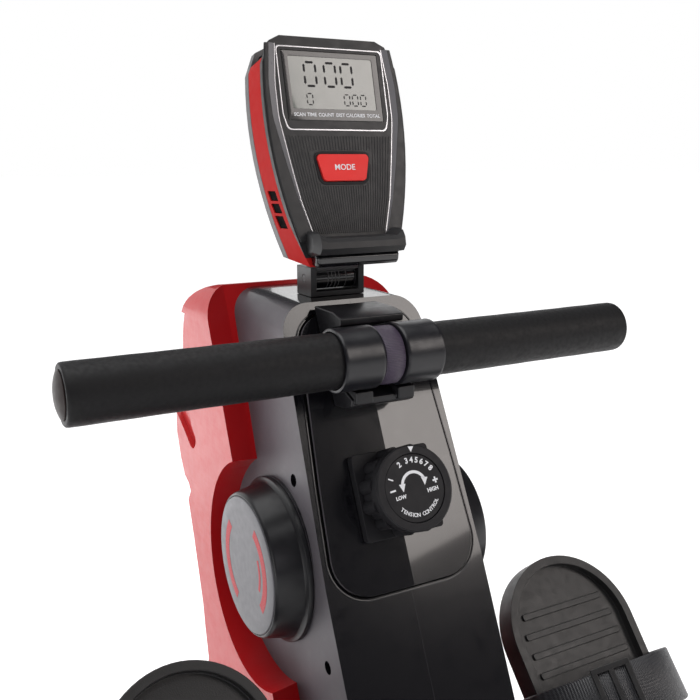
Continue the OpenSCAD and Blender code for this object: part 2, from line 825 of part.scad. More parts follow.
// The underside rises towards the back
module below_console() {
    slab_x(-80, 80) polygon([[-6, console_low - 2], [60, console_low + 22.4], [60, -110], [-6, -110]]);
}
module button_outline(grow) {
    offset(r = 3 + grow) polygon([[-17.7, 6.5], [17.7, 6.5], [14.5, -6.5], [-14.5, -6.5]]);
}
module console_front() {
    color("#161618") on_console() difference() {
        union() {
            difference() {
                slab_y(4, 0) console_outline(0);
                trim_wedge(0.2);
            }
            slab_y(trim_depth[1] - 2, 3) console_outline(5);
            slab_x(-33, 33) polygon([[1, -50], [-15, -53], [-17, -56], [-17, -60], [-14, -63], [1, -62]]);
        }
        slab_y(console_d, 4) difference() {
            console_outline(8);
            translate([-80, console_low - 1]) square([160, 14]);
        }
        below_console();
        slab_y(10, -10) button_outline(0.3);
        translate([-window[0], -1, window[1]]) cube([2 * window[0], 3, window[2] - window[1]]);
        translate([-window[0] + 4, -1, window[1] + 4]) cube([2 * window[0] - 8, 20, window[2] - window[1] - 8]);
    }
}

module console_trim() {
    color("#cc2a28") on_console() mirrored() difference() {
        union() {
            slab_y(trim_depth[1], trim_depth[0]) intersection() {
                difference() { console_outline(0); console_outline(4.6); }
                translate([20, console_low - 1]) square([60, 150]);
            }
            intersection() {
                trim_wedge(0);
                slab_y(12, -1) translate([20, console_low - 1]) square([60, 60]);
                slab_y(12, -3) console_outline(0);
            }
        }
        below_console();
        // Three slanted vents, [top, height]
        for (v = [[-12.5, 7.2], [-21.5, 7], [-30.4, 9.2]]) slab_x(30, 70) polygon([
            [9.5, v[0] - 1.3], [21.5, v[0] + 1.3], [20.5, v[0] + 1.3 - v[1]], [8.7, v[0] - 1.3 - v[1]]]);
    }
}

module console_shell() {
    color("#1c1c1e") on_console() difference() {
        union() {
            slab_y(console_d, trim_depth[1] + 0.2) console_outline(0);
            slab_y(console_d + 5, console_d) console_outline(12);
            slab_x(-17.4, 17.4) union() {
                translate(console_hinge) circle(8.5);
                polygon([[26.2, -58], [34, -52], [46, -66], [41, -78], [30, -70]]);
            }
        }
        difference() {
            slab_y(console_d - 2.5, 10) console_outline(3);
            slab_x(-80, 80) polygon([[0, console_low], [60, console_low + 26], [60, -110], [0, -110]]);
        }
        difference() {
            below_console();
            translate([-17.4, 20, -110]) cube([34.8, 40, 60]);
        }
        translate([-25, console_d + 2.5, -15]) cube([50, 10, 60]);
        translate([0, console_hinge[0], console_hinge[1]]) rod(3 + running, -20, 20);
    }
}
module battery_door() {
    color("#222224") on_console() difference() {
        translate([-24.7, console_d + 2.6, -14.7]) cube([49.4, 2.4, 59.4]);
        for (z = [30 : 4 : 38]) translate([-12, console_d + 4.2, z]) cube([24, 2, 1.6]);
    }
}

module display_window() {
    color("#5d6a60") on_console() {
        translate([-window[0] + 0.2, 0.4, window[1] + 0.2])
            cube([2 * window[0] - 0.4, 1.6, window[2] - window[1] - 0.4]);
        translate([-window[0] + 4.5, 2, window[1] + 4.5])
            cube([2 * window[0] - 9, 4, window[2] - window[1] - 9]);
    }
}

module mode_button() {
    color("#d8302c") on_console() slab_y(5, -button_travel - 1) button_outline(0);
}

module console_bracket() {
    color("#101012") tower() difference() {
        union() {
            translate([-22.5, 76, 30.3]) cube([45, 24, 21.7]);
            translate([-15.5, 79, 15]) cube([31, 18, 16]);
        }
        translate([-17.7, 70, 34]) cube([35.4, 40, 30]);
        at_yz(console_pin_at) rod(3, -30, 30);
    }
}
module console_pin() { color("silver") tower() at_yz(console_pin_at) rod(3, -22.5, 22.5); }

// ---- handle ----
module handle_bar() {
    color("silver") at_strap() ring(12.5, 10.5, -handle_w / 2 + 4, handle_w / 2 - 4);
}
module handle_grips() {
    color("#1b1b1c") at_strap() mirrored() ring(grip_r, 12.5, 20.2, handle_w / 2 - 4);
}
module handle_sleeves() {
    color("#1a1c22") at_strap() mirrored() difference() {
        rod(sleeve_r, strap_w / 2 + 0.5, 38.5);
        rod(12.5, 0, 40);
        rod(grip_r + 0.1, 20, 40);
    }
}
module handle_caps() {
    tip = handle_w / 2;
    color("#4a4440") at_strap() mirrored() rotate([0, 90, 0]) rotate_extrude()
        polygon(concat([[0, tip - 24], [10.4, tip - 24], [10.4, tip - 3.9], [17.2, tip - 3.9]],
            [for (a = [25 : -5 : 0])
                [17.2 * sin(a) / sin(25), tip - 3 + 3 * (cos(a) - cos(25)) / (1 - cos(25))]]));
}
module strap_loop() {
    color("#4a3f4d") at_strap() ring(20.2, 12.5, -strap_w / 2 + 0.2, strap_w / 2 - 0.2);
}

// Ribbon of thickness t along a [y, z] path
module ribbon(path, t) {
    n = len(path);
    function unit(v) = v / norm(v);
    function normal(i) = let (d = unit(path[min(i + 1, n - 1)] - path[max(i - 1, 0)])) [-d[1], d[0]];
    polygon(concat([for (i = [0 : n - 1]) path[i] + normal(i) * t / 2],
                   [for (i = [n - 1 : -1 : 0]) path[i] - normal(i) * t / 2]));
}
module pull_strap() {
    wrap_r = 10.3;
    reach = norm(guide_at + [wrap_r, 0] - drum_at);
    lean = atan2(guide_at[1] - drum_at[1], guide_at[0] + wrap_r - drum_at[0]);
    meet = lean - acos((coil_r + 1.3) / reach);
    path = concat([[20.6, 0], [40, 0]],
        [for (a = [90 : -15 : 0]) guide_at + wrap_r * [cos(a), sin(a)]],
        [drum_at + (coil_r + 1.3) * [cos(meet), sin(meet)]]);
    color("#4a3f4d") at_strap() slab_x(-strap_w / 2 + 0.2, strap_w / 2 - 0.2) ribbon(path, 1.8);
}

main_beam();
mast();
front_stabilizer();
front_feet();
transport_wheel_left();
transport_wheel_right();
hinge_bolt();
lock_knob();
rail();
rail_bracket();
rail_end_cap();
seat_stops();
rear_leg();
rear_feet();
seat_carriage();
seat_pad();
roller_axles();
front_rollers();
rear_rollers();
lower_rollers();
pedal_axle();
footplate_left();
footplate_right();
foot_strap_left();
foot_strap_right();
strap_drum();
drum_axle();
bearings();
recoil_spring();
guide_roller();
belt_pulley();
drive_belt();
flywheel();
flywheel_axle();
magnet_bracket();
tension_cable();
casing_left();
casing_right();
shroud_left();
shroud_right();
side_disc_left();
side_disc_right();
casing_screws();
handle_cradle();
knob_base();
tension_knob();
console_bracket();
console_pin();
console_shell();
console_front();
console_trim();
display_window();
mode_button();
battery_door();
handle_bar();
handle_grips();
handle_sleeves();
handle_caps();
strap_loop();
pull_strap();
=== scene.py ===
# Looks of the folding rowing machine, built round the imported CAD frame. Metres, +Z up.
import json
import math
from functools import cache, partial

import bmesh
import bpy
from mathutils import Matrix, Vector

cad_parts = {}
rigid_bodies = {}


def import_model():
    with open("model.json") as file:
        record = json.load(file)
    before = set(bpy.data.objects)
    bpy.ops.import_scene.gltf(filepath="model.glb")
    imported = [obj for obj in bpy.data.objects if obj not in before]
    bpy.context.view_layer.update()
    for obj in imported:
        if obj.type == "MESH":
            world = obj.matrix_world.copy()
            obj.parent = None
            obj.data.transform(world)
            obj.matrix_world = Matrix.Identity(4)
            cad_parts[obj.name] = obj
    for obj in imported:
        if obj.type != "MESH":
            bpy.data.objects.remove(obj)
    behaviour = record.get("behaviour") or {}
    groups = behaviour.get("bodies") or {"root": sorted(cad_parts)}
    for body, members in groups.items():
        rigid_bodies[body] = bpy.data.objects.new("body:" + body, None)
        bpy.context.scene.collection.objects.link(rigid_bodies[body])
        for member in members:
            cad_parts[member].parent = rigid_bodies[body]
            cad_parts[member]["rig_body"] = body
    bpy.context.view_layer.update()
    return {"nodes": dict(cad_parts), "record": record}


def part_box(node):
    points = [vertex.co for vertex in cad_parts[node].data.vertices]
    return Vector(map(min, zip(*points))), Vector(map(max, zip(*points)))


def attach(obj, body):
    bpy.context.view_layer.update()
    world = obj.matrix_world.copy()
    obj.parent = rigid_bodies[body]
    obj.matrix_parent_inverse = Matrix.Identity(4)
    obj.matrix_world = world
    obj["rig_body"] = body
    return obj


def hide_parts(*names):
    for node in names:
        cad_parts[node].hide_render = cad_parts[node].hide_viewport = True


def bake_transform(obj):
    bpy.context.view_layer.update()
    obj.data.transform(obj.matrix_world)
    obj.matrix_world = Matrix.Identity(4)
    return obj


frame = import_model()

MM = 0.001
NODES = frame["nodes"]
SLOT_OF = {part["node"]: part["material_slot"] for part in frame["record"]["subparts"]}
scene = bpy.context.scene
bar_low, bar_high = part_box("handle_bar")
HANDLE = (bar_low + bar_high) / 2
STRAP_X = HANDLE.x / MM
HANDLE.x = 0  # the machine's middle plane


# ---- places ----
def shift(x, y, z):
    return Matrix.Translation((x, y, z))


def turn(degrees, axis="X"):
    return Matrix.Rotation(math.radians(degrees), 4, axis)


# Each frame takes millimetres. TOWER has its origin at the height of the resting handle, on the middle
# plane. AT_STRAP has its own in the middle of the handle, which sits a little to one side.
TOWER = Matrix.Translation(HANDLE) @ Matrix.Scale(MM, 4)
PANEL_LEAN = 25
PANEL = TOWER @ shift(0, -8, -98) @ turn(90 - PANEL_LEAN)
CONSOLE = TOWER @ shift(0, 67.6, 124) @ turn(-14)
SEAT = TOWER @ shift(0, -300, -355) @ turn(-1) @ shift(0, -200, 0)
SIDES = ((-1, "left"), (1, "right"))
# [y, z] of the strap drum's and the side discs' axes
DRUM = (61, -157)
DISC = (51.5, -158)
AT_STRAP = TOWER @ shift(STRAP_X, 0, 0)


# ---- camera ----
def make_camera():
    """The photo's view: its direction, place and lens, fitted to the handle and the tower."""
    right = Vector((0.876, -0.4826, 0))
    ahead = Vector((0.471, 0.8547, -0.2183)).normalized()
    up = right.cross(ahead).normalized()
    data = bpy.data.cameras.new("camera")
    data.lens = 44.74
    data.sensor_width = 36
    camera = bpy.data.objects.new("camera", data)
    camera.matrix_world = Matrix.Translation(HANDLE + Vector((-0.3050, -0.4964, 0.1329))) @ Matrix(
        (right.normalized(), up, -ahead)).transposed().to_4x4()
    scene.collection.objects.link(camera)
    scene.camera = camera


make_camera()


# ---- materials ----
class Shader:
    """A Principled material with short calls for the nodes that feed it. Lengths are in metres."""

    def __init__(self, name, colour, roughness, **settings):
        self.material = bpy.data.materials.new(name)
        self.material.use_nodes = True
        self.tree = self.material.node_tree
        self.bsdf = self.tree.nodes["Principled BSDF"]
        self.set("Base Color", (*colour, 1))
        self.set("Roughness", roughness)
        for socket, value in settings.items():
            self.set(socket.replace("_", " "), value)
        self.colour = colour
        self.place = self.node("ShaderNodeTexCoord").outputs["Object"]

    def set(self, socket, value):
        self.bsdf.inputs[socket].default_value = value

    def node(self, kind, **values):
        made = self.tree.nodes.new(kind)
        for key, value in values.items():
            if hasattr(made, key):
                setattr(made, key, value)
            else:
                self.feed(made.inputs[key.replace("_", " ")], value)
        return made

    def feed(self, socket, value):
        if isinstance(value, bpy.types.NodeSocket):
            self.tree.links.new(value, socket)
        else:
            socket.default_value = value

    def math(self, operation, a, b=0.0):
        made = self.node("ShaderNodeMath", operation=operation)
        self.feed(made.inputs[0], a)
        self.feed(made.inputs[1], b)
        return made.outputs[0]

    def times(self, a, b):
        return self.math("MULTIPLY", a, b)

    def stretch(self, x, y, z):
        made = self.node("ShaderNodeMapping")
        self.feed(made.inputs["Vector"], self.place)
        made.inputs["Scale"].default_value = (x, y, z)
        return made.outputs[0]

    def noise(self, size, detail=3.0, vector=None, sharp=0.5):
        """Noise with blobs about `size` metres across."""
        made = self.node("ShaderNodeTexNoise", Scale=1 / size, Detail=detail, Roughness=sharp)
        self.feed(made.inputs["Vector"], vector or self.place)
        return made.outputs["Fac"]

    def cells(self, size, feature="F1"):
        made = self.node("ShaderNodeTexVoronoi", feature=feature, Scale=1 / size)
        self.feed(made.inputs["Vector"], self.place)
        return made.outputs["Distance"]

    def spread(self, value, low, high, to_low, to_high):
        made = self.node("ShaderNodeMapRange")
        for socket, number in zip(made.inputs, (value, low, high, to_low, to_high)):
            self.feed(socket, number)
        return made.outputs[0]

    def tint(self, factor, other):
        """Mixes the base colour towards another one by a factor."""
        made = self.node("ShaderNodeMix", data_type="RGBA")
        self.feed(made.inputs["Factor"], factor)
        for socket, number in zip([s for s in made.inputs if s.type == "RGBA"], (self.colour, other)):
            socket.default_value = (*number, 1)
        self.feed(self.bsdf.inputs["Base Color"], [s for s in made.outputs if s.type == "RGBA"][0])

    def rough(self, factor, low, high):
        self.feed(self.bsdf.inputs["Roughness"], self.spread(factor, 0.3, 0.7, low, high))

    def bump(self, *layers):
        """Stacks (height, depth in metres) layers into the normal."""
        normal = None
        for height, depth in layers:
            made = self.node("ShaderNodeBump", Distance=depth)
            self.feed(made.inputs["Height"], height)
            if normal:
                self.feed(made.inputs["Normal"], normal)
            normal = made.outputs[0]
        self.feed(self.bsdf.inputs["Normal"], normal)


def rubbed(shader):
    """Clouds with fine streaks in two directions."""
    one = shader.noise(0.003, 2, shader.stretch(1, 0.12, 1), 0.7)
    two = shader.noise(0.0039, 2, shader.stretch(0.15, 1, 0.6), 0.7)
    return shader.math("ADD", shader.noise(0.012, 5), shader.times(one, two))


def moulded_skin(shader):
    """The slight waviness of a polished moulding."""
    shader.bump((shader.noise(0.03, 1), 0.00012), (shader.noise(0.0012, 2), 0.000004))


def gloss(name, colour, other, roughness, coat=0.7, shine=0.3):
    shader = Shader(name, colour, roughness, Coat_Weight=coat, Coat_Roughness=0.05, Specular_IOR_Level=shine)
    shader.tint(shader.noise(0.05, 4), other)
    shader.rough(shader.times(rubbed(shader), 0.66), roughness * 1.2, roughness * 1.7)
    moulded_skin(shader)
    return shader


def casing_plastic(name):
    """Polished on the front panel, finely textured on the sides, whose lighter base colour is a painted
    sheen.
    """
    shader = Shader(name, (0.0034, 0.0032, 0.0046), 0.16, Specular_IOR_Level=0.35, Coat_Roughness=0.05)
    split = shader.node("ShaderNodeSeparateXYZ")
    shader.feed(split.inputs[0], shader.node("ShaderNodeTexCoord").outputs["Normal"])
    side = shader.spread(shader.math("ABSOLUTE", split.outputs["X"]), 0.2, 0.7, 0.0, 1.0)
    # Painted sheen: the side faces get a lighter grey-lavender base colour in blotches, standing in for the
    # bright surroundings they reflect.
    sheen_clouds = shader.spread(shader.noise(0.05, 4), 0.3, 0.7, 0.7, 1.0)
    shader.tint(shader.times(side, sheen_clouds), (0.105, 0.095, 0.107))
    polished = shader.spread(rubbed(shader), 0.3, 0.7, 0.12, 0.22)
    textured = shader.times(side, 0.22)
    shader.feed(shader.bsdf.inputs["Roughness"], shader.math("ADD", polished, textured))
    front = shader.math("SUBTRACT", 1.0, side)
    shader.feed(shader.bsdf.inputs["Coat Weight"], shader.times(front, 0.7))
    moulded_skin(shader)
    return shader


def satin(name, colour, other, roughness, grain=0.0007, depth=0.00003, shine=0.45):
    shader = Shader(name, colour, roughness, Specular_IOR_Level=shine)
    shader.tint(shader.noise(0.018, 5), other)
    shader.rough(shader.noise(0.006, 6), roughness * 0.86, roughness * 1.14)
    shader.bump((shader.cells(grain), depth), (shader.noise(grain * 0.5, 3), depth * 0.5))
    return shader


def powder_coat(name, colour, other):
    shader = Shader(name, colour, 0.38, Coat_Weight=0.15, Coat_Roughness=0.25)
    shader.tint(shader.noise(0.03, 5), other)
    shader.rough(shader.noise(0.004, 6), 0.3, 0.5)
    shader.bump((shader.noise(0.0011, 3), 0.00006), (shader.noise(0.006, 1), 0.00005))
    return shader


def brushed(name, colour, other, roughness, along):
    shader = Shader(name, colour, roughness, Metallic=1.0)
    lengths = {"X": (0.02, 1, 1), "Y": (1, 0.02, 1)}
    lines = shader.noise(0.0006, 4, shader.stretch(*lengths[along]), 0.7)
    shader.tint(shader.times(lines, shader.noise(0.03, 4)), other)
    shader.rough(lines, roughness * 0.75, roughness * 1.4)
    shader.bump((lines, 0.00001))
    return shader


def foam_sleeve(name):
    shader = Shader(name, (0.0018, 0.0016, 0.0022), 0.56, Specular_IOR_Level=0.3)
    shader.tint(shader.noise(0.02, 5), (0.0032, 0.0029, 0.0038))
    shader.rough(shader.noise(0.003, 6), 0.48, 0.66)
    pores = shader.spread(shader.cells(0.0009), 0.0, 0.35, 0.0, 1.0)
    shader.bump((pores, 0.00002), (shader.noise(0.0004, 4), 0.00001), (shader.noise(0.02, 2), 0.0001))
    return shader


def webbing(name, colour, other, along, across, pitch=0.0011):
    """Woven tape. along and across are functions that give a distance, in metres, from the shader."""
    shader = Shader(name, colour, 0.4, Sheen_Weight=0.03, Sheen_Roughness=0.4, Specular_IOR_Level=0.6)
    step = 2 * math.pi / pitch
    ribs = shader.math("SINE", shader.times(along(shader), step))
    yarns = shader.math("SINE", shader.times(across(shader), step * 0.8))
    over = shader.times(ribs, yarns)
    weave = shader.math("ADD", shader.times(over, 0.35), shader.times(ribs, 0.65))
    shader.tint(shader.spread(shader.math("ADD", weave, shader.noise(0.004, 4)), -0.6, 1.6, 0, 1), other)
    shader.rough(shader.noise(0.002, 4), 0.28, 0.5)
    shader.bump((weave, 0.00014), (shader.noise(0.0004, 3), 0.00006))
    return shader


def axis_part(name, offset=0.0):
    def read(shader):
        split = shader.node("ShaderNodeSeparateXYZ")
        shader.feed(split.inputs[0], shader.place)
        return shader.math("SUBTRACT", split.outputs[name], offset)
    return read


def round_the_bar(radius):
    """Distance along a tape wound round the handle."""
    def read(shader):
        angle = shader.math("ARCTAN2", axis_part("Z", HANDLE.z)(shader), axis_part("Y", HANDLE.y)(shader))
        return shader.times(angle, radius)
    return read


def grained_vinyl(name):
    shader = Shader(name, (0.0125, 0.0125, 0.0135), 0.5, Specular_IOR_Level=0.5, Coat_Weight=0.08,
                    Coat_Roughness=0.3)
    shader.tint(shader.noise(0.025, 5), (0.022, 0.021, 0.022))
    creases = shader.cells(0.0022, feature="DISTANCE_TO_EDGE")
    grain = shader.spread(creases, 0.0, 0.18, 0.0, 1.0)
    shader.rough(shader.noise(0.003, 5), 0.4, 0.62)
    shader.bump((grain, 0.00014), (shader.noise(0.0007, 3), 0.00005), (shader.noise(0.03, 3), 0.0006))
    return shader


def print_ink(name, colour):
    shader = Shader(name, colour, 0.5, Specular_IOR_Level=0.3)
    shader.tint(shader.noise(0.0008, 5), tuple(c * 0.8 for c in colour))
    shader.rough(shader.noise(0.001, 3), 0.4, 0.65)
    shader.bump((shader.noise(0.0003, 2), 0.000005))
    return shader


def lcd_glass(name):
    shader = Shader(name, (0.05, 0.062, 0.054), 0.12, Coat_Weight=1.0, Coat_Roughness=0.03)
    shader.tint(shader.noise(0.02, 3), (0.062, 0.076, 0.064))
    shader.rough(shader.noise(0.01, 4), 0.1, 0.2)
    shader.bump((shader.noise(0.02, 1), 0.00001))
    return shader


def nylon(name, colour, other):
    shader = Shader(name, colour, 0.42, Specular_IOR_Level=0.45)
    shader.tint(shader.noise(0.01, 5), other)
    shader.rough(shader.noise(0.004, 5), 0.36, 0.55)
    shader.bump((shader.noise(0.0008, 3), 0.00002))
    return shader


def turned_iron(name):
    shader = Shader(name, (0.2, 0.205, 0.215), 0.4, Metallic=0.9)
    shader.tint(shader.noise(0.01, 5), (0.12, 0.122, 0.13))
    shader.rough(shader.noise(0.002, 5), 0.3, 0.55)
    shader.bump((shader.noise(0.0006, 3), 0.00003))
    return shader


def belt(name):
    shader = Shader(name, (0.012, 0.012, 0.012), 0.6)
    ribs = shader.math("SINE", shader.times(axis_part("X")(shader), 2 * math.pi / 0.0024))
    shader.tint(shader.noise(0.006, 4), (0.022, 0.021, 0.02))
    shader.rough(shader.noise(0.003, 4), 0.5, 0.75)
    shader.bump((ribs, 0.0003), (shader.noise(0.0006, 2), 0.00003))
    return shader


# The function that makes each material, then its two colours and the rest of its settings
MAKE = {
    "black_steel": (powder_coat, (0.013, 0.013, 0.0145), (0.02, 0.02, 0.022)),
    "bracket_steel": (powder_coat, (0.05, 0.05, 0.058), (0.03, 0.03, 0.034)),
    "steel": (brushed, (0.56, 0.56, 0.57), (0.38, 0.38, 0.39), 0.28, "X"),
    "spring_steel": (brushed, (0.17, 0.18, 0.2), (0.1, 0.1, 0.12), 0.35, "X"),
    "screw_steel": (brushed, (0.05, 0.05, 0.055), (0.09, 0.09, 0.095), 0.35, "X"),
    "silver_line": (brushed, (0.5, 0.5, 0.52), (0.4, 0.4, 0.42), 0.3, "X"),
    "rail_alloy": (brushed, (0.36, 0.364, 0.374), (0.27, 0.273, 0.282), 0.42, "Y"),
    "cast_wheel": (turned_iron,),
    "casing_plastic": (casing_plastic,),
    "black_plastic": (gloss, (0.0032, 0.003, 0.0044), (0.005, 0.0048, 0.0065), 0.16),
    "red_plastic": (gloss, (0.5, 0.008, 0.01), (0.45, 0.007, 0.01), 0.24, 0.2, 0.25),
    "trim_red": (satin, (0.47, 0.019, 0.018), (0.42, 0.016, 0.015), 0.5, 0.0005, 0.000004, 0.03),
    "button_red": (satin, (0.8, 0.036, 0.033), (0.74, 0.03, 0.028), 0.42, 0.0006, 0.000004, 0.2),
    # Near-black and matte: painted shade, for the vents and the gap round the front panel.
    "vent_black": (satin, (0.001, 0.001, 0.0012), (0.002, 0.002, 0.0022), 0.7, 0.0007, 0.00003, 0.03),
    "disc_grey": (satin, (0.12, 0.118, 0.13), (0.14, 0.138, 0.15), 0.45, 0.0011, 0.00001),
    "cradle_plastic": (
        satin, (0.008, 0.0078, 0.0095), (0.012, 0.0117, 0.0135), 0.32, 0.002, 0.000002, 0.3),
    "knob_plastic": (satin, (0.0115, 0.011, 0.0128), (0.0155, 0.015, 0.0172), 0.5, 0.0007, 0.000015, 0.2),
    "sleeve_plastic": (satin, (0.0068, 0.0068, 0.0092), (0.009, 0.009, 0.0118), 0.32, 0.002, 0.0000015),
    "cap_plastic": (satin, (0.019, 0.013, 0.012), (0.026, 0.018, 0.017), 0.44, 0.002, 0.000002, 0.1),
    "console_black": (satin, (0.0135, 0.0135, 0.0145), (0.018, 0.0175, 0.019), 0.45, 0.0004, 0.000008),
    # Mid-grey base colour for the console's sloping strips: a painted sheen.
    "bezel_grey": (satin, (0.13, 0.127, 0.136), (0.16, 0.157, 0.166), 0.3, 0.0004, 0.00001),
    "shell_grey": (satin, (0.075, 0.074, 0.078), (0.1, 0.098, 0.1), 0.38, 0.0005, 0.00001),
    "foot_plastic": (satin, (0.0125, 0.0122, 0.0125), (0.019, 0.018, 0.0182), 0.42, 0.0009, 0.00005),
    "wheel_plastic": (satin, (0.016, 0.016, 0.017), (0.024, 0.0235, 0.024), 0.5),
    "cable_jacket": (satin, (0.01, 0.01, 0.012), (0.016, 0.016, 0.018), 0.45),
    "stop_rubber": (satin, (0.01, 0.01, 0.01), (0.02, 0.019, 0.018), 0.7),
    "roller_nylon": (nylon, (0.6, 0.59, 0.55), (0.5, 0.49, 0.44)),
    "pulley_plastic": (nylon, (0.025, 0.025, 0.03), (0.035, 0.034, 0.04)),
    "foam": (foam_sleeve,),
    "pad_cover": (grained_vinyl,),
    "belt_rubber": (belt,),
    "screen": (lcd_glass,),
    "ink": (print_ink, (0.86, 0.87, 0.9)),
    "mark_red": (print_ink, (0.5, 0.04, 0.05)),
    "webbing": (webbing, (0.03, 0.022, 0.036), (0.085, 0.065, 0.095), axis_part("Z"), axis_part("X")),
    "foot_webbing": (
        webbing, (0.012, 0.012, 0.014), (0.03, 0.03, 0.034), axis_part("X"), axis_part("Z"), 0.0014),
    "wound_tape": (
        webbing, (0.014, 0.0085, 0.02), (0.062, 0.04, 0.082), round_the_bar(0.0202), axis_part("X")),
}


@cache
def look(name):
    """The material of that name, made when it is first asked for."""
    maker, *settings = MAKE[name]
    return maker(name, *settings).material


# ---- mesh helpers ----
def to_object(name, bm):
    """Puts a bmesh into the scene as an object."""
    mesh = bpy.data.meshes.new(name)
    bm.to_mesh(mesh)
    bm.free()
    made = bpy.data.objects.new(name, mesh)
    scene.collection.objects.link(made)
    return made


def face_outwards(bm):
    """Turns all faces outwards and shades them smooth."""
    bmesh.ops.recalc_face_normals(bm, faces=bm.faces)
    for face in bm.faces:
        face.smooth = True


def piece(name, bm, body, material, slot, replaces=(), bevel=0.0, segments=2, angle=34, smooth=40):
    """Turns a bmesh in metres into an object that rides on a body, with rounded edges."""
    face_outwards(bm)
    for edge in bm.edges:
        if len(edge.link_faces) == 2 and edge.calc_face_angle() > math.radians(smooth):
            edge.smooth = False
    made = to_object(name, bm)
    made.data.materials.append(look(material))
    if bevel:
        round_edges(made, bevel, segments, angle)
    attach(made, body)
    if replaces:
        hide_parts(*replaces)


def round_edges(obj, width, segments, angle):
    for edge in obj.data.edges:
        edge.use_edge_sharp = False
    modifier = obj.modifiers.new("rounded", "BEVEL")
    modifier.width = width * MM
    modifier.segments = segments
    modifier.limit_method = "ANGLE"
    modifier.angle_limit = math.radians(angle)
    modifier.miter_outer = "MITER_ARC"
    weights = obj.modifiers.new("flats", "WEIGHTED_NORMAL")
    weights.keep_sharp = True
    weights.weight = 100


def from_node(name):
    """A CAD node's mesh, with split corners welded and coplanar triangles joined."""
    bm = bmesh.new()
    bm.from_mesh(NODES[name].data)
    bmesh.ops.remove_doubles(bm, verts=bm.verts, dist=0.00002)
    bmesh.ops.dissolve_limit(bm, angle_limit=math.radians(0.6), verts=bm.verts, edges=bm.edges)
    return bm


def ring(bm, place, points):
    """New vertices at the points, which are given in a frame."""
    return [bm.verts.new(place @ Vector(point)) for point in points]


def join(bm, a, b):
    """Joins two rings that have as many vertices each."""
    for i in range(len(a)):
        j = (i + 1) % len(a)
        bm.faces.new((a[i], a[j], b[j], b[i]))


def prism(bm, outline, low, high, matrix):
    """Extrudes a closed [x, y] outline from z = low to z = high."""
    bottom, top = (ring(bm, matrix, [(x, y, z) for x, y in outline]) for z in (low, high))
    bm.faces.new(bottom[::-1])
    bm.faces.new(top)
    join(bm, bottom, top)


def bridge(bm, rings, closed=False):
    """Skins a row of rings. It ends in flat caps, or meets its own start."""
    for a, b in zip(rings, rings[1:] + rings[:1] if closed else rings[1:]):
        join(bm, a, b)
    if not closed:
        bm.faces.new(rings[0][::-1])
        bm.faces.new(rings[-1])


def lathe(bm, profile, matrix, steps, closed=False):
    """Turns [along, radius] points round the local X axis."""
    turns = [2 * math.pi * i / steps for i in range(steps)]
    rings = []
    for along, radius in profile:
        if radius < 1e-6:
            rings.append(ring(bm, matrix, [(along, 0, 0)]))
        else:
            rings.append(ring(bm, matrix, [(along, radius * math.cos(a), radius * math.sin(a))
                                           for a in turns]))
    for a, b in zip(rings, rings[1:] + rings[:1] if closed else rings[1:]):
        for i in range(steps):
            j = (i + 1) % steps
            corners = [a[i % len(a)], a[j % len(a)], b[j % len(b)], b[i % len(b)]]
            unique = list(dict.fromkeys(corners))
            if len(unique) > 2:
                bm.faces.new(unique)


def arc(centre, radius, start, end, steps):
    """Points of an arc in degrees, ends included."""
    angles = [math.radians(start + (end - start) * i / steps) for i in range(steps + 1)]
    return [(centre[0] + radius * math.cos(a), centre[1] + radius * math.sin(a)) for a in angles]


def rounded(points, radius, steps=4):
    """Rounds the corners of a closed outline."""
    out = []
    count = len(points)
    for i, point in enumerate(points):
        here = Vector(point)
        before = Vector(points[i - 1]) - here
        after = Vector(points[(i + 1) % count]) - here
        cut = min(radius, before.length * 0.45, after.length * 0.45)
        a, b = here + before.normalized() * cut, here + after.normalized() * cut
        for k in range(steps + 1):
            t = k / steps
            p = a * (1 - t) ** 2 + here * 2 * t * (1 - t) + b * t ** 2
            out.append((p.x, p.y))
    return out


def ribbon(bm, path, low, high, thickness, matrix):
    """A strap with rounded edges along a [y, z] path, from x = low to x = high."""
    rings = []
    half = thickness / 2
    lip = half * 0.8
    section = [(low + lip, -half), (high - lip, -half), (high, -half * 0.3), (high, half * 0.3),
               (high - lip, half), (low + lip, half), (low, half * 0.3), (low, -half * 0.3)]
    count = len(path)
    for i, point in enumerate(path):
        ahead = Vector(path[min(i + 1, count - 1)]) - Vector(path[max(i - 1, 0)])
        normal = Vector((-ahead.y, ahead.x)).normalized()
        rings.append(ring(bm, matrix, [(x, point[0] + normal.x * n, point[1] + normal.y * n)
                                       for x, n in section]))
    bridge(bm, rings)


def evaluated(obj):
    """The object's mesh with its modifiers applied."""
    return bpy.data.meshes.new_from_object(obj.evaluated_get(bpy.context.evaluated_depsgraph_get()))


def letters(bm, text, size, matrix, height=0.12, bold=0.0):
    """Adds raised letters, size millimetres tall, centred in the local XY plane."""
    curve = bpy.data.curves.new("letters", "FONT")
    curve.body = text
    curve.size = size
    curve.extrude = height / 2
    curve.offset = bold
    curve.align_x = curve.align_y = "CENTER"
    curve.resolution_u = 3
    holder = bpy.data.objects.new("letters", curve)
    scene.collection.objects.link(holder)
    bpy.context.view_layer.update()
    mesh = evaluated(holder)
    mesh.transform(matrix @ Matrix.Translation((0, 0, height / 2)))
    bm.from_mesh(mesh)
    bpy.data.objects.remove(holder)
    bpy.data.curves.remove(curve)
    bpy.data.meshes.remove(mesh)


# ---- light, floor and background ----
scene.view_settings.view_transform = "Standard"


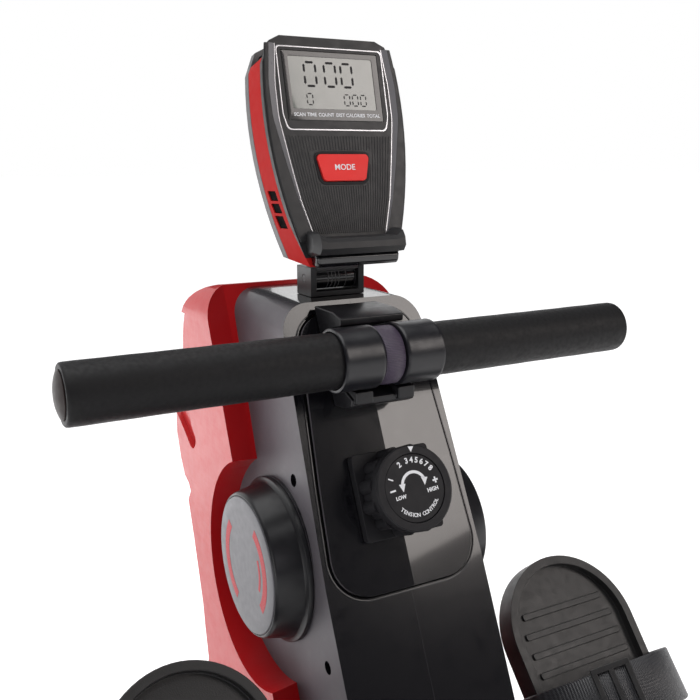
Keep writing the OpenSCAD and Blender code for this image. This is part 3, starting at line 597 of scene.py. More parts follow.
def make_world():
    """A dim sky for the machine, and plain white wherever the camera sees past it."""
    world = bpy.data.worlds.new("studio")
    world.use_nodes = True
    scene.world = world
    tree = world.node_tree
    sky = tree.nodes["Background"]
    sky.inputs["Color"].default_value = (0.95, 0.94, 1, 1)
    sky.inputs["Strength"].default_value = 0.08
    backdrop = tree.nodes.new("ShaderNodeBackground")
    backdrop.inputs["Color"].default_value = (1, 1, 1, 1)
    seen = tree.nodes.new("ShaderNodeLightPath")
    mix = tree.nodes.new("ShaderNodeMixShader")
    sources = (seen.outputs["Is Camera Ray"], sky.outputs[0], backdrop.outputs[0])
    for socket, source in zip(mix.inputs, sources):
        tree.links.new(source, socket)
    tree.links.new(mix.outputs[0], tree.nodes["World Output"].inputs["Surface"])


def lamp(name, kind, energy):
    made = bpy.data.objects.new(name, bpy.data.lights.new(name, kind))
    made.data.energy = energy
    scene.collection.objects.link(made)
    return made


def softbox(name, place, target, size, radiance, colour=(1, 1, 1)):
    """A rectangular light of an even brightness. Its power follows from its area."""
    made = lamp(name, "AREA", radiance * size[0] * size[1] * math.pi)
    made.data.shape = "RECTANGLE"
    made.data.size, made.data.size_y = size
    made.data.color = colour
    made.location = place
    made.rotation_euler = (Vector(target) - Vector(place)).to_track_quat("-Z", "Y").to_euler()
    made.visible_camera = False


def make_floor():
    shader = Shader("floor", (0.93, 0.93, 0.935), 0.55, Specular_IOR_Level=0.1)
    shader.set("Emission Color", (1, 1, 1, 1))
    shader.set("Emission Strength", 0.3)
    shader.tint(shader.noise(0.8, 2), (0.925, 0.925, 0.93))
    bm = bmesh.new()
    bmesh.ops.create_grid(bm, x_segments=8, y_segments=8, size=30)
    floor = to_object("floor", bm)
    floor.data.materials.append(shader.material)


def make_sun():
    """Even light from above. Its wide angle keeps the shadows soft."""
    made = lamp("overhead", "SUN", 2.5)
    made.data.angle = math.radians(70)
    made.rotation_euler = (math.radians(-6), math.radians(-8), 0)


make_world()
make_floor()
TOWER_MIDDLE = HANDLE + Vector((0, 0.05, -0.1))
make_sun()
softbox("left_back", (-0.62, 1.62, 0.5), TOWER_MIDDLE + Vector((-0.1, 0.1, -0.05)), (1.7, 1.3), 1.14)
softbox("right_front", (1.75, -1.35, 1.9), TOWER_MIDDLE, (1.1, 1.5), 5.0, (1, 0.93, 0.89))
softbox("front_fill", (-1.6, -3.0, 1.9), TOWER_MIDDLE, (1.0, 1.2), 2.0, (0.97, 0.95, 1))
softbox("edge_strip", TOWER_MIDDLE + Vector((-1.7, -0.8, 0.12)), TOWER_MIDDLE, (0.14, 1.1), 7.0)
softbox("rear_fill", (1.8, 3.2, 1.8), TOWER_MIDDLE, (1.6, 1.6), 1.2)


# ---- machined and moulded parts ----
# For the nodes whose CAD shape only needs its edges and finish: nodes, bevel in mm, its segments, and the
# angle above which an edge gets it, if that is not the usual one
BEVELS = (
    ("main_beam", 2, 3, 30), ("mast", 0.4, 1), ("front_stabilizer", 2, 3), ("front_feet", 1.6, 2),
    ("transport_wheel_left transport_wheel_right", 1.2, 2), ("hinge_bolt", 0.8, 2, 30),
    ("lock_knob", 1.2, 2), ("rail", 0.6, 2), ("rail_bracket", 0.8, 2), ("rail_end_cap", 2, 3),
    ("seat_stops", 1.5, 3), ("rear_leg rear_feet", 2, 3), ("seat_carriage", 0.8, 2),
    ("roller_axles", 0.7, 2, 30), ("front_rollers rear_rollers lower_rollers", 0.8, 2),
    ("pedal_axle", 1, 2), ("strap_drum drum_axle", 0.5, 1), ("bearings", 0.4, 1), ("recoil_spring", 0, 1),
    ("guide_roller belt_pulley", 0.5, 1), ("drive_belt", 0.4, 1), ("flywheel", 0.8, 2),
    ("flywheel_axle", 0.5, 1), ("magnet_bracket", 0.4, 1), ("tension_cable", 0, 1, 60),
    ("casing_left casing_right", 1.1, 3, 34), ("shroud_left shroud_right", 2.4, 4, 34),
    ("casing_screws", 0.3, 1), ("handle_cradle", 1.2, 3, 34), ("knob_base", 0.5, 2),
    ("tension_knob", 0.6, 2, 34), ("console_bracket", 1.4, 3, 34), ("console_pin", 0.4, 1),
    ("console_shell", 1.6, 3, 34), ("console_front", 0.7, 2, 34), ("console_trim", 0.6, 2, 34),
    ("display_window", 0.3, 1), ("mode_button", 0.9, 3, 34), ("battery_door", 0.4, 1),
    ("handle_bar", 0.3, 1), ("footplate_left footplate_right", 1.6, 3, 34),
)
# Nodes whose finish differs from the material slot that the record gives them
OWN_FINISH = {"console_shell": "shell_grey", "knob_base": "knob_plastic", "casing_left": "casing_plastic",
              "casing_right": "casing_plastic", "mode_button": "button_red", "console_pin": "black_steel",
              "console_bracket": "cradle_plastic"}


def finish(name, bevel, segments, angle=40):
    """A detailed copy of a CAD node: rounded edges and a real finish."""
    slot = SLOT_OF[name]
    piece(name + "_finished", from_node(name), NODES[name]["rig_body"], OWN_FINISH.get(name, slot), slot,
          (name,), bevel, segments, angle)


for names, *edge in BEVELS:
    for node_name in names.split():
        finish(node_name, *edge)


def add(name, body, material, slot, build, **settings):
    """Makes one piece from a function that fills a bmesh."""
    bm = bmesh.new()
    build(bm)
    piece(name, bm, body, material, slot, **settings)


# ---- handle ----
BORE = 12.6
GRIP_START = 20.4


def turned(sign, profile, steps=128, closed=False, place=AT_STRAP):
    """A builder that turns a profile round an axis across the machine, on the sign's side."""
    return lambda bm: lathe(bm, [(sign * along, r) for along, r in profile], place, steps, closed)


def grip_profile():
    """Foam with a faint waviness, rounded where it meets the cap."""
    start, end, r = GRIP_START, 212.0, 19.0
    profile = [(start, BORE), (start, r - 0.6), (start + 0.6, r)]
    steps = 24
    for i in range(1, steps):
        along = start + 2 + (end - start - 5) * i / steps
        profile.append((along, r - 0.06 * math.sin(along * 0.21) - 0.05 * math.sin(along * 0.057)))
    return profile + [(end - 2.2, r), (end - 0.8, r - 0.25), (end - 0.15, r - 0.9), (end, r - 1.9),
                      (end, BORE)]


def sleeve_profile():
    """A ring over the grip's inner end, with a hollow lip at its outer edge."""
    start, end, r, lip = 8.6, 38.5, 21.75, 2.3
    return [(start, BORE), (start, r - 1.0), (start + 0.3, r - 0.35), (start + 1, r - 0.05),
            (start + 2.5, r), (start + 15, r - 0.25), (end - 2.4, r - 0.1), (end - 0.9, r),
            (end - 0.3, r - 0.2), (end, r - 0.7), (end, r - lip + 0.4), (end - 0.5, r - lip),
            (GRIP_START - 0.3, r - lip), (GRIP_START - 0.3, BORE)]


def cap_profile():
    """A plug inside the grip with a shallow dome over its end."""
    tip, rim, lean = 216.0, 14.6, 50
    profile = [(188, 0), (188, 10.3), (212.1, 10.3), (212.1, rim + 0.3), (212.4, rim + 0.5),
               (212.9, rim + 0.3)]
    dome = range(lean - 2, -1, -6)
    profile += [(tip - 3 * (1 - math.cos(math.radians(a))) / (1 - math.cos(math.radians(lean))),
                 rim * math.sin(math.radians(a)) / math.sin(math.radians(lean))) for a in dome]
    profile[-1] = (tip, 0)
    return profile


for sign, side in SIDES:
    add("grip_" + side, "handle", "foam", "foam", turned(sign, grip_profile(), closed=True),
        replaces=("handle_grips",), smooth=50)
    add("sleeve_" + side, "handle", "sleeve_plastic", "sleeve_plastic",
        turned(sign, sleeve_profile(), closed=True), replaces=("handle_sleeves",))
    add("cap_" + side, "handle", "cap_plastic", "cap_plastic", turned(sign, cap_profile(), 96),
        replaces=("handle_caps",), smooth=30)


TAPE_HALF = 7.8


def wound_strap(bm):
    """Two rings of tape round the bar, the outer one a little narrower."""
    half, r = TAPE_HALF, 20.2
    inner = [(-half, BORE), (-half, r - 1.9), (-half + 0.25, r - 1.6), (half - 0.25, r - 1.6),
             (half, r - 1.9), (half, BORE)]
    outer = [(-half + 0.3, r - 1.7), (-half + 0.3, r - 0.3), (-half + 0.6, r - 0.05), (0, r),
             (half - 0.9, r - 0.05), (half - 0.6, r - 0.3), (half - 0.6, r - 1.7)]
    lathe(bm, inner, AT_STRAP, 96, closed=True)
    lathe(bm, outer, AT_STRAP, 96, closed=True)


add("strap_wound", "handle", "wound_tape", "webbing", wound_strap, replaces=("strap_loop",))


def strap_path():
    """[y, z] path from the handle, over the guide roller, down to the drum."""
    guide, wrap, coil = Vector((66, -10.3)), 10.3, 44.3
    drum = Vector(DRUM)
    reach = guide + Vector((wrap, 0)) - drum
    meet = math.atan2(reach.y, reach.x) - math.acos(coil / reach.length)
    path = [(20.6 + 0.5 * i, 0) for i in range(40)]
    path += [(40.6 + 5 * i, 0) for i in range(1, 5)]
    path += arc(guide, wrap, 90, 0, 12)
    end = drum + coil * Vector((math.cos(meet), math.sin(meet)))
    start = Vector(path[-1])
    return path + [tuple(start.lerp(end, i / 6)) for i in range(1, 7)]


def make_pull_strap():
    bm = bmesh.new()
    ribbon(bm, strap_path(), -TAPE_HALF, TAPE_HALF, 1.7, AT_STRAP)
    face_outwards(bm)
    tape = to_object("pull_strap_tape", bm)
    tape.data.materials.append(look("webbing"))
    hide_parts("pull_strap")
    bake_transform(tape)


make_pull_strap()


# ---- side discs ----
DISC_AXIS = TOWER @ shift(0, *DISC)
DISC_FACE = 90.0
# [along, radius] profiles of the black body and of the grey plate in it
DISC_SIDE = [(58, 0), (58, 57.6), (64.4, 57.6), (64.4, 60.6), (64.8, 61), (67.2, 61), (67.9, 60.6),
             (68.3, 59.6), (68.8, 57.9), (69.6, 57.1), (71, 56.8), (86.6, 53.2), (88.2, 52.4), (89, 51.2),
             (89, 50.6), (88.4, 50.2), (88.2, 0)]
DISC_PLATE = [(88.3, 0), (88.3, 50), (89.2, 50), (89.7, 49.7), (DISC_FACE, 49), (DISC_FACE, 40),
              (DISC_FACE, 20), (DISC_FACE, 0)]


def disc_mark(bm, sign):
    """Two plain arcs inside the rim, and a short one inside them."""
    place = TOWER @ shift(sign * DISC_FACE, *DISC) @ turn(90 * sign, "Y") @ turn(90 * sign, "Z")
    for start, end, r, width in ((-38, 62, 39, 7), (142, 242, 39, 7), (-20, 30, 28, 3)):
        band = arc((0, 0), r, start, end, 24) + arc((0, 0), r - width, end, start, 24)
        prism(bm, band, -0.1, 0.14, place)


for sign, side in SIDES:
    node = "side_disc_" + side
    body, slot = NODES[node]["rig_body"], SLOT_OF[node]
    add("disc_side_" + side, body, "cradle_plastic", "black_plastic",
        turned(sign, DISC_SIDE, place=DISC_AXIS), replaces=(node,), smooth=30)
    add("disc_face_" + side, body, "disc_grey", slot, turned(sign, DISC_PLATE, place=DISC_AXIS),
        replaces=(node,), smooth=30)
    add("disc_mark_" + side, body, "mark_red", slot, partial(disc_mark, sign=sign))


# ---- tension knob print ----
DIAL_TOP = 28.4
RING_TOP = 29.0


def flat_on_dial(x, y, lean):
    return PANEL @ shift(x, y, DIAL_TOP) @ turn(lean, "Z")


def on_dial(radius, clock):
    """A spot on the dial, its letter standing away from the centre."""
    a = math.radians(clock)
    return flat_on_dial(radius * math.sin(a), radius * math.cos(a), -clock)


PRINT = 0.12
# [number, clock angle in degrees] round the dial
DIAL_NUMBERS = (("1", -64), ("2", -26), ("3", -7), ("4", 5), ("5", 17), ("6", 29), ("7", 41), ("8", 54))


def box(x0, y0, x1, y1):
    """The outline of a rectangle."""
    return [(x0, y0), (x1, y0), (x1, y1), (x0, y1)]


def dial_print(bm):
    for text, clock in DIAL_NUMBERS:
        letters(bm, text, 5.3, on_dial(18.9, clock), bold=0.15)
    letters(bm, "LOW", 3.5, flat_on_dial(-12, -4.6, 4), bold=0.13)
    letters(bm, "HIGH", 3.7, flat_on_dial(13.7, -3.2, 4), bold=0.13)
    words, first, sweep = "TENSION CONTROL", 230, 108
    widths = [{"I": 0.5, " ": 0.8}.get(letter, 1.0) for letter in words]
    for i, letter in enumerate(words):
        if letter != " ":
            clock = first - sweep * (sum(widths[:i]) + widths[i] / 2) / sum(widths)
            letters(bm, letter, 3.7, on_dial(18.2, clock) @ turn(180, "Z"), bold=0.07)
    minus, plus = flat_on_dial(-17.2, 0.6, 6), flat_on_dial(17, 2.7, 6)
    prism(bm, box(-2.2, -0.6, 2.2, 0.6), 0, PRINT, minus)
    prism(bm, box(-2.1, -0.6, 2.1, 0.6), 0, PRINT, plus)
    prism(bm, box(-0.6, -2.1, 0.6, 2.1), 0, PRINT, plus)
    centre = (0, 1.6)
    arrow = arc(centre, 10.3, 170, 22, 24) + arc(centre, 8.3, 22, 170, 24)
    prism(bm, arrow, 0, PRINT, flat_on_dial(0, 0, 0))
    for angle, lean in ((172, 0), (20, -8)):
        x, y = arc(centre, 9.3, angle, angle, 1)[0]
        prism(bm, [(-2.5, 1.2), (0, -4.2), (2.5, 1.2)], 0, PRINT, flat_on_dial(x, y, lean))


def pointer_print(bm):
    place = PANEL @ shift(0, 0, RING_TOP) @ turn(-6, "Z")
    prism(bm, [(-2.2, 28.1), (2.2, 28.1), (0, 24.3)], -0.05, PRINT, place)


add("dial_print", NODES["knob_base"]["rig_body"], "ink", SLOT_OF["knob_base"], dial_print)
add("pointer_print", NODES["tension_knob"]["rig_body"], "ink", SLOT_OF["tension_knob"], pointer_print)


# ---- front panel ----
def panel_edge(grow):
    """The raised panel's outline, [x, s], grown outwards."""
    right = [(0, -65 - grow)] + arc((30, -38), 27 + grow, -90, 0, 9) + [(54.6 + grow, 11), (50 + grow, 74)]
    right += arc((26.5, 113), 20 + grow, 0, 90, 9) + [(0, 133 + grow)]
    return right + [(-x, y) for x, y in right[-2:0:-1]]


def panel_ring(start, end, low, high):
    """A builder for a fine band round the front panel, lying on its border."""
    def build(bm):
        outer, inner = panel_edge(end), panel_edge(start)
        place = PANEL @ shift(0, 0, -5.5)
        levels = [(outer, low), (outer, high), (inner, high), (inner, low)]
        bridge(bm, [ring(bm, place, [(x, y, z) for x, y in outline]) for outline, z in levels], closed=True)
    return build


add("panel_lip", "frame", "black_plastic", "black_plastic", panel_ring(2.3, 3.4, -0.4, 0.35),
    bevel=0.2, segments=1)
# A near-black band at the foot of the raised panel's wall: a painted shadow line.
add("panel_shadow_gap", "frame", "vent_black", "black_plastic", panel_ring(0.1, 1.5, -0.4, 0.12))


# ---- console ----
# [height, half width] of the ribbed field's edge, and [height, width] of the sloping strip beside it
INNER_EDGE = [(-52, 28.6), (-48.4, 29.7), (-22.7, 36.7), (2, 41.1), (36, 46.4), (60, 46.2), (88, 43.2)]
STRIP_WIDTH = [(-52, 0.7), (-48.4, 0.9), (-22.7, 1.8), (2, 3.2), (36, 4.6), (60, 5.0), (88, 4.6)]


def follow(table, z):
    """Straight-line reading of a [z, value] table."""
    for (z0, v0), (z1, v1) in zip(table, table[1:]):
        if z <= z1:
            return v0 + (v1 - v0) * (z - z0) / (z1 - z0)
    return table[-1][1]


def console_half(z):
    """Half width of the console's face, as moulded."""
    return 56.1 - 0.00172 * (z - 38.5) ** 2


def up_the_face(section):
    """A builder that sweeps a section up both sides of the face. It gives [x, out] corners at each height,
    and out is towards the user."""
    def build(bm):
        for sign in (-1, 1):
            bridge(bm, [ring(bm, CONSOLE, [(sign * x, -out, z) for x, out in section(z)])
                        for z in range(-52, 89, 5)])
    return build


def band_section(z):
    """The flat band outside each sloping strip, standing proud of the ribbed field."""
    inner = follow(INNER_EDGE, z) + follow(STRIP_WIDTH, z)
    outer = max(min(console_half(z) - 1.0, 54.9), inner + 0.5)
    return [(inner, -0.5), (inner, 1.1), (outer - 0.6, 1.1), (outer, 0.6), (outer, -0.5)]


def strip_section(z):
    """The sloping strip between an outer band and the ribbed field."""
    inner = follow(INNER_EDGE, z)
    outer = inner + follow(STRIP_WIDTH, z) + 0.02
    return [(inner, -0.3), (inner, 0.12), (outer, 1.22), (outer, -0.3)]


def highlight_line_section(z):
    """A bright silver line at the foot of the strip: a painted highlight along the strip's edge."""
    inner = follow(INNER_EDGE, z)
    return [(inner - 0.5, -0.3), (inner - 0.5, 0.25), (inner + 0.05, 0.25), (inner + 0.05, -0.3)]


RIBS = 36
RIB_FAN = 1.93  # how wide the ribs fan, as a part of the field's half width
RIB_TOP, RIB_LOW, RIB_STEPS = 23.0, -47.0, 35
RIB_SECTION = ((-0.36, -0.1), (-0.14, 0.5), (0.14, 0.5), (0.36, -0.1))
BUTTON_HEIGHT = 9.5
BUTTON_RIM = 2.6


def button_half(z):
    """Half width of the button's hole at height z."""
    return 19.1 + 0.246 * z


def console_ribs(bm):
    """Fine fanning ribs that stop at the button's rim."""
    for i in range(RIBS):
        u = -RIB_FAN / 2 + RIB_FAN * i / (RIBS - 1)
        runs, run = [], []
        for k in range(RIB_STEPS + 1):
            z = RIB_LOW + (RIB_TOP - RIB_LOW) * k / RIB_STEPS
            half = follow(INNER_EDGE, z) - 1.2
            beside = abs(u * half) < button_half(z) + BUTTON_RIM + 0.6
            if abs(z) < BUTTON_HEIGHT + BUTTON_RIM and beside:
                if len(run) > 1:
                    runs.append(run)
                run = []
            else:
                run.append((u * half, z, half * RIB_FAN / (RIBS - 1)))
        runs.append(run)
        for run in runs:
            bridge(bm, [ring(bm, CONSOLE, [(x + side * pitch, -out, z) for side, out in RIB_SECTION])
                        for x, z, pitch in run])


def button_outline(grow):
    top, low, high = 20.7 + grow, 17.5 + grow, BUTTON_HEIGHT + grow
    return rounded([(top, high), (-top, high), (-low, -high), (low, -high)], 3.6 + grow, 6)


def loop_band(outer, inner, low, high):
    """A builder for a closed band between two matching outlines on the console's face."""
    levels = ((outer, low), (outer, high), (inner, high), (inner, low))
    return lambda bm: bridge(
        bm, [ring(bm, CONSOLE, [(x, -out, z) for x, z in outline]) for outline, out in levels], closed=True)


def display_edge(inset):
    side, top, low = 43.0 - inset, 87 - inset, 27 + inset
    corners = [(side + 0.2, 38), (side, top), (-side, top), (-side - 0.2, 38), (-40.3 + inset, low),
               (40.3 - inset, low)]
    return rounded(corners, 3.4, 5)


# Left-hand sections, x and [y, z] outline, of the chin under the face and of the lip under the chin
CHIN = [
    (-36.5, [(2, -46), (-5, -47), (-9, -48.5), (-11.5, -52), (-11, -57), (-8, -60.5), (2, -60)]),
    (-34, [(2, -44), (-12, -46.6), (-17, -49.2), (-19, -54), (-18.8, -60.2), (-15, -63.6), (2, -62.4)]),
    (-28, [(2, -48.6), (-13, -51.4), (-17.6, -53), (-19.2, -56), (-19, -60.4), (-15, -64), (2, -62.4)]),
]
LIP = [
    (-33.8, [(2, -60), (-6, -62), (-8, -65), (-6.5, -68.5), (-5, -70), (0, -68.6), (12, -64.2)]),
    (-32, [(2, -60), (-8, -62), (-10, -65.4), (-8.5, -69.6), (-6, -71.4), (0, -69.4), (12, -65)]),
]


def cross_bar(sections):
    """A builder for a bar across the console, given by its left-hand sections."""
    def build(bm):
        both = sections + [(-x, profile) for x, profile in reversed(sections)]
        bridge(bm, [ring(bm, CONSOLE, [(x, y, z) for y, z in profile]) for x, profile in both])
    return build


def hinge_barrel(bm):
    """The turned sleeve of the console's hinge, between the cheeks of its bracket."""
    half, r, bore = 17.2, 8.6, 3.2
    profile = [(-half, bore), (-half, r - 0.6), (0.6 - half, r)]
    for groove in (-6, -3, 0, 3, 9):
        profile += [(groove - 0.5, r), (groove - 0.2, r - 0.35), (groove + 0.2, r - 0.35), (groove + 0.5, r)]
    profile += [(half - 0.6, r), (half, r - 0.6), (half, bore)]
    lathe(bm, profile, TOWER @ shift(0, 88, 43), 64, closed=True)


def console_labels(bm):
    flat = CONSOLE @ turn(90)
    words = {"SCAN": -29.5, "TIME": -20, "COUNT": -8.5, "DIST": 3, "CALORIES": 15.4, "TOTAL": 30.4}
    for word, x in words.items():
        letters(bm, word, 3.5, flat @ shift(x, 38.2, 0.05), bold=0.07)


def mode_label(bm):
    letters(bm, "MODE", 5.9, CONSOLE @ turn(90) @ shift(0.5, 0, 2.15), height=0.16, bold=0.05)


# A glossy black surround that leaves the liquid crystal open
SCREEN_OUTER = rounded([(38.6, 34.4), (38.6, 83.6), (-38.6, 83.6), (-38.6, 34.4)], 1.0, 4)
SCREEN_INNER = rounded([(34, 42.5), (34, 80), (-34, 80), (-34, 42.5)], 1.6, 4)

# The six bars of a nought, from corner to corner of its box
NOUGHT = (((0, 1), (1, 1)), ((1, 0.5), (1, 1)), ((1, 0), (1, 0.5)), ((0, 0), (1, 0)), ((0, 0), (0, 0.5)),
          ((0, 0.5), (0, 1)))
# [how many noughts, x, z, width, height] of each figure
FIGURES = ((1, -22, 59, 9, 17), (2, -6, 59, 9, 17), (1, -22, 45.5, 4.5, 8), (3, 8, 45.5, 4.5, 8))


def lcd_digits(bm):
    """Seven-segment noughts on the screen."""
    for count, x, z, w, h in FIGURES:
        for k in range(count):
            for start, end in NOUGHT:
                corner = Vector((x + k * w * 1.5, z))
                a = corner + Vector((start[0] * w, start[1] * h))
                b = corner + Vector((end[0] * w, end[1] * h))
                along = (b - a).normalized()
                wide = Vector((-along.y, along.x)) * w * 0.09
                a, b = a + along * w * 0.14, b - along * w * 0.14
                tip = along * w * 0.09
                bar = (a, a + tip + wide, b - tip + wide, b, b - tip - wide, a + tip - wide)
                prism(bm, [tuple(p) for p in bar], -0.36, -0.28, CONSOLE @ turn(90))


# [top, height] of each vent
VENTS = ((-12.5, 7.2), (-21.5, 7.0), (-30.4, 9.2))


def vent_shade_blocks(bm):
    """Near-black blocks a little under the surface of the red strips: painted shade standing in for the dark
    inside of the vents.
    """
    for sign in (-1, 1):
        for top, height in VENTS:
            low = top - height
            corners = [(9.1, top - 1.7), (21.9, top + 1.7), (20.9, low + 1.7), (8.3, low - 1.7)]
            near, deep = (ring(bm, CONSOLE, [(sign * (console_half(z) - sunk), y, z) for y, z in corners])
                          for sunk in (0.9, 3.5))
            bm.faces.new(near)
            bm.faces.new(deep[::-1])
            join(bm, near, deep)


def on_console(name, material, build, slot="console_black", **settings):
    add(name, "console", material, slot, build, **settings)


on_console("vent_shade_blocks", "vent_black", vent_shade_blocks)
on_console("console_bands", "console_black", up_the_face(band_section), bevel=0.25)
# The sloping strips get a mid-grey base colour: a painted sheen standing in for the light they reflect.
on_console("console_strips", "bezel_grey", up_the_face(strip_section))
# Silver lines at the feet of the strips: painted highlights along their edges.
on_console("console_highlight_lines", "silver_line", up_the_face(highlight_line_section))
on_console("console_ribs", "console_black", console_ribs)
on_console("console_chin", "console_black", cross_bar(CHIN), smooth=14)
on_console("console_lip", "black_plastic", cross_bar(LIP), bevel=0.9, segments=3, angle=14, smooth=14)
on_console("hinge_barrel", "black_plastic", hinge_barrel, smooth=30)
on_console("button_rim", "knob_plastic",
           loop_band(button_outline(BUTTON_RIM), button_outline(0.45), -0.3, 0.55), bevel=0.25)
on_console("display_line", "silver_line", loop_band(display_edge(0), display_edge(1.0), -0.2, 0.3),
           bevel=0.12, segments=1)
on_console("screen_frame", "black_plastic", loop_band(SCREEN_OUTER, SCREEN_INNER, -0.5, -0.02),
           bevel=0.15, segments=1)
on_console("console_labels", "ink", console_labels)
add("mode_label", "mode_button", "ink", SLOT_OF["mode_button"], mode_label)
on_console("lcd_digits", "knob_plastic", lcd_digits, slot="screen")


# ---- footplates ----
PLATE_FACE = -28.0
SOLE_R = 49.5  # of the plate's round ends
STRAP_R = 61.6
STRAP_THICK = 2.4


def tread(bm, place):
    """Low cross bars on the sole, shorter towards the toe and the heel, and none under the strap."""
    for z in range(-108, 132, 15):
        end = 97 if z > 0 else 94
        half = math.sqrt(max(SOLE_R ** 2 - max(0, abs(z) - end) ** 2, 0)) - 4
        if not 16 < z < 70:
            prism(bm, rounded(box(-half, z - 2.6, half, z + 2.6), 2, 3), 0, 2.2,
                  place @ shift(0, PLATE_FACE + 0.3, 0) @ turn(90))


def foot_strap(bm, place):
    """A wide band over the foot, from one edge of the plate to the other."""
    hoop = arc((0, PLATE_FACE), STRAP_R, 180, 360, 48)
    path = [(-STRAP_R, PLATE_FACE + 8.5)] + hoop + [(STRAP_R, PLATE_FACE + 8.5)]
    axes = Matrix(((0, 1, 0, 0), (0, 0, 1, 0), (1, 0, 0, 0), (0, 0, 0, 1)))
    ribbon(bm, path, 24, 62, STRAP_THICK, place @ axes)


def buckle(bm, place):
    """A flat slider with two slots, on top of the foot strap."""
    spot = place @ shift(0, PLATE_FACE, 0) @ turn(-24, "Z") @ shift(0, -STRAP_R - 1, 43) @ turn(90)
    for x0, x1 in ((-15, -11), (-2, 2), (11, 15)):
        prism(bm, rounded(box(x0, -22, x1, 22), 1.2, 2), 0, 2.2, spot)
    for y0, y1 in ((-22, -18), (18, 22)):
        prism(bm, rounded(box(-15, y0, 15, y1), 1.2, 2), 0.1, 2.3, spot)


for sign, side in SIDES:
    body, slot = NODES["footplate_" + side]["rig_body"], SLOT_OF["foot_strap_" + side]
    place = TOWER @ shift(160 * sign, -67, -334) @ turn(-41)
    add("tread_" + side, body, "foot_plastic", "foot_plastic", partial(tread, place=place), bevel=0.7)
    add("foot_strap_band_" + side, body, "foot_webbing", slot, partial(foot_strap, place=place),
        replaces=("foot_strap_" + side,), smooth=60)
    add("foot_buckle_" + side, body, "foot_plastic", slot, partial(buckle, place=place), bevel=0.4)


# ---- seat pad ----
PAD = {"low": 69.0, "high": 121.0, "w": 300.0, "d": 240.0}
PIPING_R = 1.6


def pad_outline(inset, pull=0.0, steps=96):
    """A rounded rectangle whose long sides pull in a little between the corners."""
    points = []
    for i in range(steps):
        a = 2 * math.pi * i / steps
        c, s = math.cos(a), math.sin(a)
        x = math.copysign(abs(c) ** 0.5, c) * (PAD["w"] / 2 - inset)
        y = math.copysign(abs(s) ** 0.5, s) * (PAD["d"] / 2 - inset)
        y *= 1 - pull * math.exp(-(x / 60) ** 2)
        points.append((x, y))
    return points


def pad_blank(bm, shrink):
    """The cushion before it is blown up, a little small all round."""
    levels = ((0.3, 30), (5, 17), (14, 7), (26, 4), (36, 7), (44, 18), (48, 34))
    bridge(bm, [[bm.verts.new((x, y, PAD["low"] + up)) for x, y in pad_outline(inset + shrink, 0.012)]
                for up, inset in levels])


CLOTH = {"quality": 5, "tension_stiffness": 22, "compression_stiffness": 18, "shear_stiffness": 12,
         "bending_stiffness": 1.2, "use_pressure": True, "vertex_group_mass": "base"}


def inflate(obj, pressure, cap_mm, frames):
    """Blows the pad up with a cloth simulation, held at its base. No point moves more than cap_mm."""
    bpy.context.view_layer.objects.active = obj
    remesh = obj.modifiers.new("voxels", "REMESH")
    remesh.mode = "VOXEL"
    remesh.voxel_size = 5 * MM
    mesh = evaluated(obj)
    obj.modifiers.clear()
    obj.data = mesh
    start = [v.co.copy() for v in mesh.vertices]
    floor = min(v.z for v in start)
    held = obj.vertex_groups.new(name="base")
    held.add([i for i, v in enumerate(start) if v.z < floor + 4 * MM], 1.0, "ADD")
    cloth = obj.modifiers.new("cloth", "CLOTH")
    for name, value in CLOTH.items():
        setattr(cloth.settings, name, value)
    cloth.settings.uniform_pressure_force = pressure
    cloth.settings.effector_weights.gravity = 0
    cloth.collision_settings.use_collision = False
    for number in range(1, frames + 1):
        scene.frame_set(number)
    blown = evaluated(obj)
    obj.modifiers.clear()
    limit = cap_mm * MM
    for v, old in zip(blown.vertices, start):
        move = v.co - old
        if move.length > limit:
            v.co = old + move.normalized() * limit
    obj.data = blown
    scene.frame_set(1)


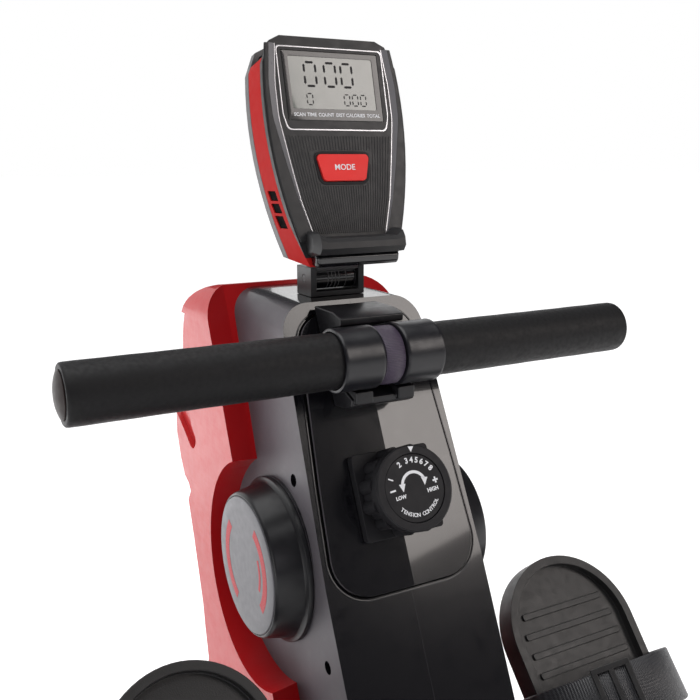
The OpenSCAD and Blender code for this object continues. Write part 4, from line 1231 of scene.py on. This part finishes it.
def smooth_pad(obj, passes):
    bm = bmesh.new()
    bm.from_mesh(obj.data)
    for _ in range(passes):
        bmesh.ops.smooth_vert(
            bm, verts=bm.verts, factor=0.5, use_axis_x=True, use_axis_y=True, use_axis_z=True)
    bm.to_mesh(obj.data)
    bm.free()


def shape_top(obj):
    """Two shallow seat hollows, a front-to-back channel, and a flat base."""
    low, high = PAD["low"] * MM, PAD["high"] * MM
    for v in obj.data.vertices:
        x, y, z = v.co
        lift = max(0.0, min(1.0, (z - low) / (high - low)))
        hollow = math.exp(-((abs(x) - 0.07) / 0.045) ** 2 - ((y + 0.01) / 0.07) ** 2)
        channel = math.exp(-(x / 0.012) ** 2) * math.exp(-((y + 0.02) / 0.1) ** 4)
        v.co.z -= lift * (0.004 * hollow + 0.003 * channel)
        v.co.z = max(v.co.z, low + 0.0002)


def piping(pad):
    """A cord round the cushion, laid on its surface, where the top cover meets the side."""
    height = PAD["low"] + 15
    path = []
    for x, y in pad_outline(0, steps=180):
        outside = Vector((x, y, height)) * MM * 1.5
        hit, spot, _, _ = pad.ray_cast(outside, Vector((-x, -y, -height / 2)).normalized())
        if hit:
            path.append(spot / MM)
    bm = bmesh.new()
    rings = []
    for before, here, after in zip(path[-1:] + path[:-1], path, path[1:] + path[:1]):
        out = Vector((after.y - before.y, before.x - after.x, 0)).normalized()
        rings.append(ring(bm, SEAT, [here + PIPING_R * (out * c + Vector((0, 0, s)))
                                     for c, s in arc((0, 0), 1, 0, 315, 7)]))
    bridge(bm, rings, closed=True)
    return bm


def make_pad():
    bm = bmesh.new()
    pad_blank(bm, 5)
    for v in bm.verts:
        v.co *= MM
    bmesh.ops.recalc_face_normals(bm, faces=bm.faces)
    pad = to_object("seat_cushion", bm)
    inflate(pad, pressure=4, cap_mm=6, frames=20)
    smooth_pad(pad, 3)
    shape_top(pad)
    bpy.context.view_layer.update()
    piece("seat_piping", piping(pad), "seat", "pad_cover", "pad_cover")
    pad.data.transform(SEAT @ Matrix.Scale(1 / MM, 4))
    pad.data.shade_smooth()
    pad.data.materials.append(look("pad_cover"))
    subdivision = pad.modifiers.new("smooth", "SUBSURF")
    subdivision.levels = subdivision.render_levels = 1
    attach(pad, "seat")
    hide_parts("seat_pad")


make_pad()
